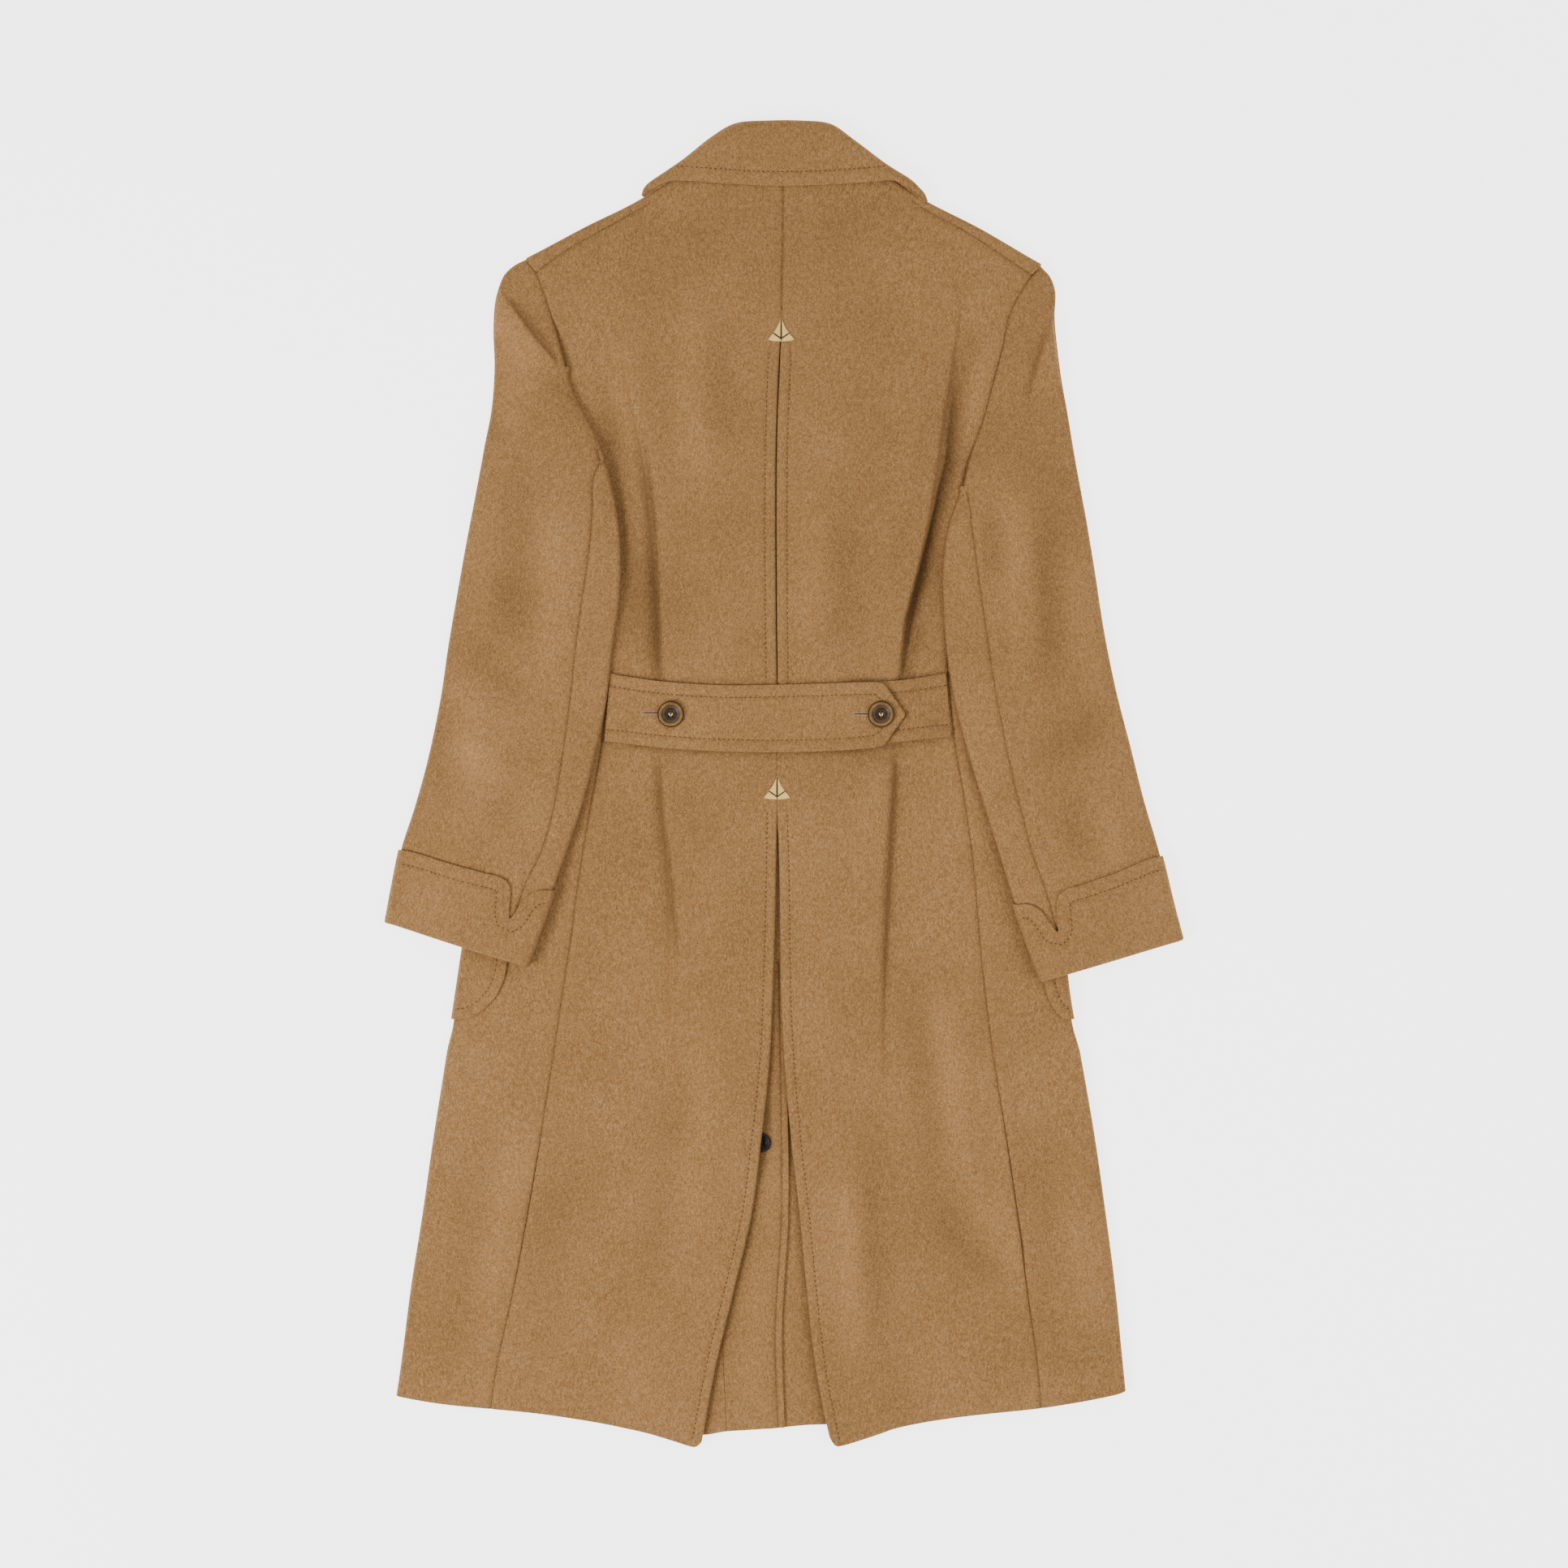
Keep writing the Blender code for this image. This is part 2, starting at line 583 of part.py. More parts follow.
def add_front(side):
    """Front panel: flat under the back, round the side to the side-back seam and over the shoulder."""
    sign = side.sign
    chest = 7
    neck_columns = 3
    grid = []
    for row in range(len(front_row_heights(side, 0)) + 1):
        points = []
        for index in range(chest):
            y = front_row_heights(side, 0)[row - 1] if row else LEFT_HEM[0][1]
            x = chest_place(side, index, y)
            y = y if row else front_hem(side, x)
            points.append((x, y, FLOOR_MID + front_lift(side, x, y)))
        side_parts = [("under", share) for share in (0.4, 0.75, 1.0)]
        side_parts += [("fold", share) for share in FOLD_SHARES]
        side_parts += [("over", share) for share in (0.0, 0.35, 0.68, 1.0)]
        for part, share in side_parts:
            y = front_row_heights(side, share if part == "over" else 0.0)[row - 1] if row else -575.0
            if row == 0:
                place = front_point(side, part, share, y)[0]
                y = front_hem(side, place) if part == "under" else side.hem(place)
            points.append(front_point(side, part, share, y))
        grid.append(points)
    width = len(grid[0])
    rest = [None] * (width - chest)

    ridge = side.ridge
    tops = []
    for index in range(chest):
        if index < neck_columns:
            x = (-LEAD_REACH_TOP * sign, 0.0, LEAD_REACH_TOP * sign)[index]
            tops.append((x, front_neck(x)))
        else:
            share = (index - neck_columns) / (chest - 1 - neck_columns)
            tops.append((ridge["x"](share), ridge["y"](share) - CLOTH / 2 - SIDE_FOLD_RADIUS))
    bottoms = grid[-1][:chest]
    for level in (0.25, 0.5, 0.75, 0.9, 1.0):
        points = []
        for index in range(chest):
            x = bottoms[index][0] * (1 - level) + tops[index][0] * level
            y = bottoms[index][1] * (1 - level) + tops[index][1] * level
            if index == 0:
                x = lead_x(side, y)
            if index == neck_columns and sign > 0 and level < 1.0:
                x = lead_x(SIDES["left"], y) + OVERLAP_RAMP[0]
            if index == chest - 1:
                x = side.body["seam"](y) - sign * ARMHOLE_CLEAR
            points.append((x, y, FLOOR_MID + front_lift(side, x, y)))
        grid.append(points + rest)
    for angle in (-45, 0, 45, 90):
        turn = math.radians(angle)
        points = [None] * neck_columns
        for x, y in tops[neck_columns:]:
            points.append((x, y + SIDE_FOLD_RADIUS * math.cos(turn),
                           FLOOR_MID + SIDE_FOLD_RADIUS * (1 + math.sin(turn))))
        grid.append(points + rest)
    points = [None] * neck_columns
    for index in range(neck_columns, chest):
        x = ridge["seam_x"]((index - neck_columns) / (chest - 1 - neck_columns))
        height = min(side.top(x) + SHOULDER_CLEAR, tops[index][1] - GAP)
        points.append((x, height, BACK_MID))
    grid.append(points + rest)
    return add_sheet("front_" + side.name, grid)


def add_pocket(side):
    """Patch pocket, from the front's points moved out: under the front, round the side, on the back."""
    width, low, corner = POCKET_EDGE[side.name]
    out = STEP + POCKET_CLEAR
    parts = [("under", share) for share in (0.0, 0.35, 0.7, 1.0)]
    parts += [("fold", share) for share in FOLD_SHARES]
    parts += [("over", share) for share in (0.0, 0.35, 0.65, 0.85, 1.0)]
    grid = []
    for level in POCKET_LEVELS:
        points = []
        for part, share in parts:
            rounding = {"under": (1 - share) ** 2, "fold": 0.0, "over": share}[part]
            bottom = low + corner * (1 - math.sqrt(max(0.0, 1 - rounding ** 2)))
            y = bottom + (POCKET_TOP - bottom) * level
            lower = FLOOR_MID + front_lift(side, SIDE_PLACE * side.sign, y)
            centre = side_fold(side, y, lower)[0]
            if part == "fold":
                points.append(front_point(side, part, share, y, out))
            elif part == "under":
                start = POCKET_INNER * side.sign
                points.append((start + (centre - start) * share, y, FLOOR_MID))
            else:
                inner = side.body["side"](y) - side.sign * width
                points.append((centre + (inner - centre) * share, y, BACK_MID + out))
        grid.append(points)
    return add_sheet("pocket_" + side.name, grid)


def body_edge(side, y):
    """Outer edge of the body under the sleeve: the side fold, the armhole's curve, then its seam."""
    low, rise = UNDERARM[side.name]
    outer = side.body["side"](y)
    seam = side.body["seam"](y)
    if y <= low:
        return outer
    share = min(1.0, max(0.0, (y - low - UNDERARM_MARGIN) / rise))
    return outer + (seam - outer) * share


def sleeve_base(side, x, y):
    """Height that the sleeve lies on: the body and its pocket, then down to the surface past its side."""
    distance = (x - body_edge(side, y)) * side.sign
    on_body = 1 - smoothstep(0, SLEEVE_DROP, distance)
    on_body *= 1 - smoothstep(*SLEEVE_LIFT_FADE[side.name], y)
    rise = back_mid(side, x, y) - BACK_MID if distance < 0 else 0.0
    pocket = POCKET_STACK * window(y, (POCKET_LIFT_ROWS[0], POCKET_LIFT_ROWS[1], 20.0, 70.0))
    return (BODY_TOP + rise + pocket) * on_body


def sleeve_edge(side, row, name):
    """Point on a sleeve's outer (o) or inner (i) edge, and the direction that looks out from it."""
    curves = side.sleeve[name + "x"], side.sleeve[name + "y"]
    point = Vector([curve(row) for curve in curves])
    low = max(0.0, row - 0.1)
    tangent = Vector([curve(row + 0.1) - curve(low) for curve in curves]).normalized()
    turn = side.sign if name == "o" else -side.sign
    return point, Vector((-tangent.y, tangent.x)) * turn


def sleeve_plan(side, row, share):
    """Point seen from above on a sleeve's row, from its outer fold (0) to its inner fold (1)."""
    inset = CLOTH / 2 + SLEEVE_FOLD_RADIUS
    outer, outer_way = sleeve_edge(side, row, "o")
    inner, inner_way = sleeve_edge(side, row, "i")
    point = (outer - outer_way * inset).lerp(inner - inner_way * inset, share)
    if row < ARMHOLE_ROWS:
        outer, outer_way = sleeve_edge(side, 0, "o")
        inner, inner_way = sleeve_edge(side, 0, "i")
        first = (outer - outer_way * inset).lerp(inner - inner_way * inset, share)
        armhole = side.body["seam"](first.y) + side.sign * ARMHOLE_CLEAR
        point.x += (armhole - first.x) * (1 - smoothstep(0, ARMHOLE_ROWS, row))
    return point


def last_sleeve_row(side):
    return len(LEFT_SLEEVE if side.sign < 0 else RIGHT_SLEEVE) - 1


def sleeve_floor(side, plan, row):
    """Middle of the sleeve's lower layer, raised over the cuff's lower layer at the end."""
    last = last_sleeve_row(side)
    cuff_lift = (STEP + LAYER_CLEAR) * smoothstep(last - 3.4, last - 2.5, row)
    return sleeve_base(side, plan.x, plan.y) + CLOTH / 2 + cuff_lift


def body_share(side, row):
    """Share of a sleeve's row, from its outer fold, where it comes onto the body."""
    low, high = 0.0, 1.0
    for _ in range(20):
        middle = (low + high) / 2
        plan = sleeve_plan(side, row, middle)
        if (plan.x - body_edge(side, plan.y)) * side.sign > 0:
            low = middle
        else:
            high = middle
    return low


def upper_floor(side, row, share):
    """Height under the upper layer: even down from the body to the sleeve's outer fold."""
    plan = sleeve_plan(side, row, share)
    here = sleeve_floor(side, plan, row)
    follow = smoothstep(1, ARMHOLE_ROWS, row)
    if follow == 0.0:
        return here
    outer = sleeve_floor(side, sleeve_plan(side, row, 0.0), row)
    inner = sleeve_floor(side, sleeve_plan(side, row, 1.0), row)
    even = outer + (inner - outer) * smoothstep(0.0, max(0.3, body_share(side, row)), share)
    return here + (even - here) * follow


def sleeve_point(side, ring, row, out=0.0):
    """Middle of a sleeve's cloth. ring: 0-1 under from the inner edge, 1-2 outer fold,
    2-3 over from the outer edge, 3-4 inner fold."""
    radius = SLEEVE_FOLD_RADIUS
    ring = ring % 4
    if ring <= 1:
        plan = sleeve_plan(side, row, 1 - ring)
        return plan.x, plan.y, sleeve_floor(side, plan, row) - out
    if 2 <= ring <= 3:
        share = ring - 2
        plan = sleeve_plan(side, row, share)
        crown = side.sleeve["crown"](row) * math.sin(math.pi * share)
        return plan.x, plan.y, upper_floor(side, row, share) + 2 * radius + crown + out
    outer = ring < 2
    plan = sleeve_plan(side, row, 0.0 if outer else 1.0)
    way = sleeve_edge(side, row, "o" if outer else "i")[1]
    turn = math.pi * ((ring - 1.5) if outer else (3.5 - ring))
    reach = (radius + out) * math.cos(turn)
    height = sleeve_floor(side, plan, row) + radius + (radius + out) * math.sin(turn)
    return plan.x + way.x * reach, plan.y + way.y * reach, height


def under_stations(side, row):
    """Places round the ring for the sleeve's lower layer: finer where it comes off the body."""
    edge = min(0.90, max(0.12, 1 - body_share(side, row)))
    width = (sleeve_plan(side, row, 0) - sleeve_plan(side, row, 1)).length
    scale = min(1.0, (0.97 - edge) * width / (SLEEVE_DROP + 2)) / width
    steps = (-4.0, 0.5, 8.0, 15.0, 22.0, 29.0, SLEEVE_DROP + 2)
    return [edge * 0.5] + [edge + step * scale for step in steps] + [1.0]


def ring_gap(side, row, ring):
    """Half of a seam's gap as a share of the ring's part that it lies on."""
    if 2 <= ring <= 3:
        return 0.25 / (sleeve_plan(side, row, 0) - sleeve_plan(side, row, 1)).length
    return 0.8 / (math.pi * SLEEVE_FOLD_RADIUS)


def add_sleeve(side):
    """Top sleeve and under sleeve, which meet at the elbow seam and at the hidden front seam."""
    last = last_sleeve_row(side)
    top_grid = []
    under_grid = []
    for place in range(last + 1):
        row = min(place, last - CUFF_HANG)
        seam = side.sleeve["seam"](row)
        gap = ring_gap(side, row, seam)
        under = under_stations(side, row)
        front_gap = ring_gap(side, row, 2.5)
        top_end = seam - gap
        tops = [*UPPER_RINGS[:-1], 3.0] if seam > 3.0 else UPPER_RINGS
        top_rings = [under[0] + front_gap, *under[1:], 1.25, 1.5, 1.75, 2.0, *tops, top_end]
        start = seam + gap
        if seam < 3.0:
            under_rings = [start, (start + 3.0) / 2, 3.0, 3.33, 3.67, 4.0]
        else:
            under_rings = [start + (4.0 - start) * share for share in (0.0, 0.2, 0.4, 0.6, 0.8, 1.0)]
        under_rings += [4.0 + under[0] * 0.5, 4.0 + under[0] - front_gap]
        top_grid.append([sleeve_point(side, ring, row) for ring in top_rings])
        under_grid.append([sleeve_point(side, ring, row) for ring in under_rings])
    add_sheet("topsleeve_" + side.name, top_grid)
    add_sheet("undersleeve_" + side.name, under_grid)


def add_cuff(side):
    """Turned-back cuff: a second layer round the sleeve's end, with a notch at the elbow seam."""
    last = last_sleeve_row(side)
    start = curve_through(CUFF_EDGE)
    notch = (2.765, 2.81, 2.86, 2.93, 3.0)
    upper = [1.25, 1.5, 1.75, 2.0, *UPPER_RINGS, *notch, 3.25, 3.5, 3.75]
    grid = []
    for level in range(CUFF_ROWS + 1):
        share = 1 - level / CUFF_ROWS
        under_row = last - start(0.5) * share
        rings = [0.0, *under_stations(side, under_row), *upper]
        points = []
        for ring in rings:
            points.append(sleeve_point(side, ring, last - start(ring) * share, STEP + LAYER_CLEAR))
        grid.append(points)
    return add_sheet("cuff_" + side.name, grid, closed=True)


def add_upper_underlay():
    """Inset of the pleat above the belt."""
    left = SIDES["left"].body["edge"]
    right = SIDES["right"].body["edge"]
    grid = []
    levels = UNDERLAY_LEVELS["upper"]
    for level in range(levels + 1):
        y = BELT_MIDDLE + UNDERLAY_GAP + (UPPER_UNDERLAY_TOP - BELT_MIDDLE) * level / levels
        middle = (left(y) + right(y)) / 2
        points = [(middle + UNDERLAY_REACH * share, y, UPPER_UNDERLAY_MID) for share in (-1, 0, 1)]
        grid.append(points)
    return add_sheet("pleat_underlay", grid)


def add_vent_underlays():
    """Underlays of the vent: the left one lies over the right one."""
    left_edge = SIDES["left"].body["edge"]
    right_edge = SIDES["right"].body["edge"]
    lap = curve_through(UNDERLAY_EDGE)
    hem = curve_through(UNDERLAY_HEM)
    for name, height in (("left", LEFT_UNDERLAY_MID), ("right", RIGHT_UNDERLAY_MID)):
        grid = []
        levels = UNDERLAY_LEVELS["vent"]
        for level in range(levels + 1):
            points = []
            for share in (0, 0.5, 1):
                y = BELT_MIDDLE - UNDERLAY_GAP
                y += (UNDERLAY_END - y) * (1 - level / levels)
                low, high = left_edge(y) - UNDERLAY_REACH, lap(y)
                if name == "right":
                    low, high = lap(y) - UNDERLAY_LAP, right_edge(y) + UNDERLAY_REACH
                x = low + (high - low) * share
                points.append((x, hem(x) if level == 0 else y, height))
            grid.append(points)
        add_sheet("vent_underlay_" + name, grid)


def belt_top_mid(x, y, extra=0.0):
    """Middle of the belt's cloth where it lies on the back, raised by what else is under it."""
    middle = (SIDES["left"].body["edge"](y) + SIDES["right"].body["edge"](y)) / 2
    side = SIDES["left" if x < middle else "right"]
    return back_mid(side, x, y) + STEP + BELT_CLEAR + extra


def add_belts():
    """Half belt across the waist: its two pieces lie on the back, the long one on top."""
    for name, rows in (("belt_long", BELT_LONG), ("belt_short", BELT_SHORT)):
        top = curve_through([(row[0], row[1]) for row in rows])
        bottom = curve_through([(row[0], row[2]) for row in rows])
        long_piece = name == "belt_long"
        stops = BELT_STOPS[name]
        grid = []
        for x in stops:
            points = []
            sewn_end = x in (stops[0], stops[-1]) and abs(x) > BELT_SEWN_END
            for share in BELT_SHARES:
                y = bottom(x) + (top(x) - bottom(x)) * share
                lap = STEP * smoothstep(*BELT_LAP, x) if long_piece else 0.0
                lean = (share - 0.5) * BELT_LEAN if sewn_end else 0.0
                points.append((x - lean if x > 0 else x + lean, y, belt_top_mid(x, y, lap)))
            grid.append(points)
        if long_piece:
            tip_x, tip_y = BELT_TIP
            for reach in TIP_REACHES:
                points = []
                for share in BELT_SHARES:
                    low, high = bottom(stops[-1]), top(stops[-1])
                    narrow = 1 - TIP_TAPER * reach ** 1.5
                    middle = (low + high) / 2 * (1 - reach) + tip_y * reach
                    y = middle + (share - 0.5) * (high - low) * narrow
                    round_off = TIP_ROUND * reach * abs(share - 0.5) * 2
                    x = stops[-1] + (tip_x - stops[-1]) * reach - round_off
                    points.append((x, y, belt_top_mid(x, y, STEP)))
                grid.append(points)
        add_sheet(name, grid)


def add_collar():
    """Collar: the fall from its lower edge up to the roll, and the layer that lies under it."""
    grid = []
    for row in COLLAR:
        edge_x, edge_y, roll_x, roll_y, stand_off, radius = row
        edge = Vector((edge_x, edge_y))
        roll = Vector((roll_x, roll_y))
        along = (roll - edge).normalized()
        side = SIDES["left" if edge_x < 0 else "right"]
        edge_height = back_mid(side, edge_x, edge_y) + STEP + 0.1 + stand_off
        top_height = max(edge_height + 0.6, FLOOR_MID + 2 * radius)
        centre = roll - along * (radius + CLOTH / 2)
        points = []
        for share in (0.0, 0.3, 0.65):
            place = edge.lerp(centre, share)
            height = edge_height + (top_height - edge_height) * smoothstep(-0.3, 1.0, share)
            height = edge_height if share == 0 else height
            points.append((place.x, place.y, height))
        reaches_front = abs(roll_x) < COLLAR_FRONT_HALF
        target = max(front_neck(roll_x) + COLLAR_NECK_CLEAR, side.ridge["y"](0) + COLLAR_NECK_CLEAR
                     if abs(roll_x) > LEAD_REACH_TOP else 0.0)
        last_turn = 90 if reaches_front else 15
        for step in range(7):
            turn = math.radians(90 - (90 + last_turn) * step / 6)
            place = centre + along * radius * math.cos(turn)
            points.append((place.x, place.y, top_height - radius * (1 - math.sin(turn))))
        under = max(GAP, (centre.y - target) / along.y)
        for share in (0.5, 1.0):
            if reaches_front:
                place = centre - along * under * share
                points.append((place.x, place.y, top_height - 2 * radius))
            else:
                low = points[6 + 3]
                points.append((low[0], low[1], low[2] - 1.4 * share))
        grid.append(points)
    return add_sheet("collar", grid)


def add_collar_stand():
    """Collar stand, from the back's neck edge up into the roll."""
    left_top = SIDES["left"].top
    right_top = SIDES["right"].top
    roll = curve_through([(row[2], row[3]) for row in COLLAR])
    grid = []
    for share in (0.0, 0.5, 1.0):
        points = []
        for step in range(9):
            x = -STAND_HALF + 2 * STAND_HALF * step / 8
            low = (left_top(x) if x < 0 else right_top(x)) + ARMHOLE_CLEAR
            high = roll(x) - 2 * CLOTH
            points.append((x, low + (high - low) * share, BACK_MID - 0.4))
        grid.append(points)
    return add_sheet("collar_stand", grid, UNDERCOLLAR)


def turned_button(name, profile, place, height, colour):
    """Turn a button from its profile, which runs down its outer side from top to bottom."""
    mesh = bpy.data.meshes.new(name)
    shape = bmesh.new()
    points = [shape.verts.new((radius * MM, 0.0, level * MM)) for radius, level in profile]
    for low, high in zip(points, points[1:]):
        shape.edges.new((low, high))
    shape.to_mesh(mesh)
    shape.free()
    item = link_object(name, mesh, colour, 0.35)
    item.location = (place[0] * MM, place[1] * MM, height * MM)
    turn = item.modifiers.new("Turn", "SCREW")
    turn.axis = "Z"
    turn.steps = BUTTON_SEGMENTS
    turn.render_steps = BUTTON_SEGMENTS
    turn.use_merge_vertices = True
    turn.merge_threshold = 0.00001
    turn.use_smooth_shade = True
    return item


def button_profile(radius, height):
    """Rim, shallow bowl and flat back of a button."""
    return (
        (0.0, height * 0.62), (radius * 0.40, height * 0.62), (radius * 0.62, height * 0.72),
        (radius * 0.74, height * 0.95), (radius * 0.86, height), (radius * 0.97, height * 0.8),
        (radius, height * 0.5), (radius * 0.93, height * 0.15), (radius * 0.8, 0.0), (0.0, 0.0),
    )


def cut_holes(button, place, height):
    """Cut the four sewing holes through a button."""
    for index in range(4):
        turn = math.radians(45 + 90 * index)
        bpy.ops.mesh.primitive_cylinder_add(
            vertices=10, radius=BUTTON_HOLE_RADIUS * MM, depth=20 * MM,
            location=((place[0] + BUTTON_HOLE_OFFSET * math.cos(turn)) * MM,
                      (place[1] + BUTTON_HOLE_OFFSET * math.sin(turn)) * MM, height * MM))
        cutter = bpy.context.active_object
        cutter.name = button.name + "_hole_cutter_" + str(index)
        for collection in list(cutter.users_collection):
            collection.objects.unlink(cutter)
        CUTTERS.objects.link(cutter)
        cutter.hide_render = True
        cutter.display_type = "WIRE"
        cut = button.modifiers.new("Hole" + str(index), "BOOLEAN")
        cut.operation = "DIFFERENCE"
        cut.solver = "EXACT"
        cut.object = cutter


def add_buttons():
    for name, place in BELT_BUTTONS.items():
        lap = STEP if name == "right" else 0.0
        reach = (-BUTTON_RADIUS, 0.0, BUTTON_RADIUS)
        height = max(belt_top_mid(place[0] + dx, place[1] + dy, lap) for dx in reach for dy in reach)
        height += CLOTH / 2 + GAP
        button = turned_button("belt_button_" + name, button_profile(BUTTON_RADIUS, BUTTON_HEIGHT),
                               place, height, HORN)
        cut_holes(button, place, height)
    height = LEFT_UNDERLAY_MID + CLOTH / 2 + GAP
    turned_button("vent_button", button_profile(VENT_BUTTON_RADIUS, VENT_BUTTON_HEIGHT),
                  VENT_BUTTON, height, DARK_HORN)


def add_tacks():
    """Arrowhead tacks: a low triangular pad of stitches over the folded edges."""
    for name, (x, y) in TACKS.items():
        outline = bpy.data.curves.new("tack_" + name, "CURVE")
        outline.dimensions = "2D"
        outline.fill_mode = "BOTH"
        outline.extrude = TACK_THICK / 2 * MM
        half = TACK_HEIGHT / 2
        corners = ((0.0, half), (-TACK_HALF, -half + 4.0), (-TACK_HALF + 1.5, -half + 1.6), (0.0, -half),
                   (TACK_HALF - 1.5, -half + 1.6), (TACK_HALF, -half + 4.0))
        spline = outline.splines.new("POLY")
        spline.points.add(len(corners) - 1)
        for point, corner in zip(spline.points, corners):
            point.co = (corner[0] * MM, corner[1] * MM, 0.0, 1.0)
        spline.use_cyclic_u = True
        item = bpy.data.objects.new("tack_" + name, outline)
        outline.materials.append(make_material("tack_" + name + "_finish", TACK_SILK, 0.5))
        COAT.objects.link(item)
        item.parent = ROOT
        height = back_mid(SIDES["left"], x, y) + CLOTH / 2 + GAP + TACK_THICK / 2
        item.location = (x * MM, y * MM, height * MM)
        item.modifiers.new("Weld", "WELD").merge_threshold = 0.00005


def make_collection(name):
    collection = bpy.data.collections.new(name)
    bpy.context.scene.collection.children.link(collection)
    return collection


remove_scene_objects()
SIDES = {name: make_side(name) for name in ("left", "right")}
COAT = make_collection("polo_coat")
CUTTERS = make_collection("cutters")
ROOT = bpy.data.objects.new("polo_coat_root", None)
COAT.objects.link(ROOT)

for coat_side in SIDES.values():
    add_back(coat_side)
    add_front(coat_side)
    add_pocket(coat_side)
    add_sleeve(coat_side)
    add_cuff(coat_side)
add_upper_underlay()
add_vent_underlays()
add_belts()
add_collar()
add_collar_stand()
add_buttons()
add_tacks()
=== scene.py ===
"""Looks of a camel polo coat that lies flat with its back up.

Each sheet of cloth is a fine wall on the form of its solid, with soft folds, pressed seams and
stitching. Sizes are in millimetres unless a heading says metres. +X is the right of the coat, and +Y
points to its collar.
"""
import math
import random
from collections import namedtuple

import bmesh
import bpy
import numpy as np
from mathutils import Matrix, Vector
from mathutils.bvhtree import BVHTree


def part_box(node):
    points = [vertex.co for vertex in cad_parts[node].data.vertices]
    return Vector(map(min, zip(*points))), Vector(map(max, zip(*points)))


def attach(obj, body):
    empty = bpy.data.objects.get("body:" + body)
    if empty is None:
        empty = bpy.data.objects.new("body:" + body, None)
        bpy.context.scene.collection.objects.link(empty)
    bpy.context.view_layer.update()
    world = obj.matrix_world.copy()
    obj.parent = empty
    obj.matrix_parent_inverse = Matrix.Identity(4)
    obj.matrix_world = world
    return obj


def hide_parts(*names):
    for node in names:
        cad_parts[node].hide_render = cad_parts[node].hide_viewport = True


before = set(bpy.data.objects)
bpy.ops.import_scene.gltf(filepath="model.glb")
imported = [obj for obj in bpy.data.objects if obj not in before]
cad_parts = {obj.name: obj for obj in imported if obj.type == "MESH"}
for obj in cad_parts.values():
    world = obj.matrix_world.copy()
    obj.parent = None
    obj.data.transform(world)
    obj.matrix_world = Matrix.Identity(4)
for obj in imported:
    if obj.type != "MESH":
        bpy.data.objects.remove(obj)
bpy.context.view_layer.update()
random.seed(11)

MM = 0.001

# Cloth, and how its layers lie on each other
CLOTH = 2.0
GAP = 0.3
STEP = CLOTH + GAP
SEAM_SHIFT = 0.25
FOLD_SEAM_SHIFT = 0.1
ARMHOLE_CLEAR = 0.3
SHOULDER_CLEAR = -0.3
LAYER_CLEAR = 0.35
FLOOR_MID = CLOTH / 2
SIDE_FOLD_RADIUS = 2.9
BACK_MID = FLOOR_MID + 2 * SIDE_FOLD_RADIUS
BODY_TOP = BACK_MID + CLOTH / 2 + GAP

# Inverted pleat: folded edges over an underlay, with the panels raised along them
RETURN_WIDTH = 15.0
UPPER_LIFT = 3.8
LOWER_LIFT = 6.2
LIFT_FLAT = 40.0
LIFT_END = 105.0
LIFT_CHANGE = (112.0, 165.0)
LIFT_NECK = (470.0, 545.0)
UNDERLAY_REACH = 32.0
UPPER_UNDERLAY_MID = 5.6
RIGHT_UNDERLAY_MID = 5.6
LEFT_UNDERLAY_MID = RIGHT_UNDERLAY_MID + STEP
UPPER_UNDERLAY_TOP = 440.0
BELT_MIDDLE = 50.0
UNDERLAY_GAP = 2.5
UPPER_UNDERLAY_ROWS = 60
UPPER_UNDERLAY_COLUMNS = 15

# Body outline, seams and folds of the back by height. side: folded side of the body, seam:
# side-back seam and armhole above it, tuck: folded edge of the side tuck, edge: centre edge
BODY_COLUMNS = ("y", "side", "seam", "tuck", "edge")
LEFT_BODY = (
    (-620, -369, -280, -151, -78.0),
    (-600, -366, -276, -148, -74.3),
    (-540, -357, -267, -139, -63.0),
    (-470, -348, -252, -129, -46.2),
    (-400, -337, -239, -119, -30.0),
    (-330, -327, -227, -109, -21.0),
    (-260, -316, -216, -106, -13.5),
    (-200, -307, -207, -104, -10.5),
    (-140, -298, -198, -105, -8.6),
    (-80, -288, -190, -107, -7.4),
    (-20, -278, -180, -111, -6.6),
    (40, -271, -170, -113, -7.0),
    (100, -268, -165, -114, -7.5),
    (150, -269, -167, -116, -8.3),
    (200, -271, -173, -119, -8.6),
    (250, -272, -179, -123, -8.8),
    (300, -273, -186, -129, -8.6),
    (350, -274, -196, -139, -7.4),
    (388, -275, -203.5, -146, -5.8),
    (440, -276, -218, -146, -2.7),
    (476, -277, -231, -145, -2.0),
    (489, -277, -241, -144, -1.6),
    (580, -278, -300, -140, -0.6),
)
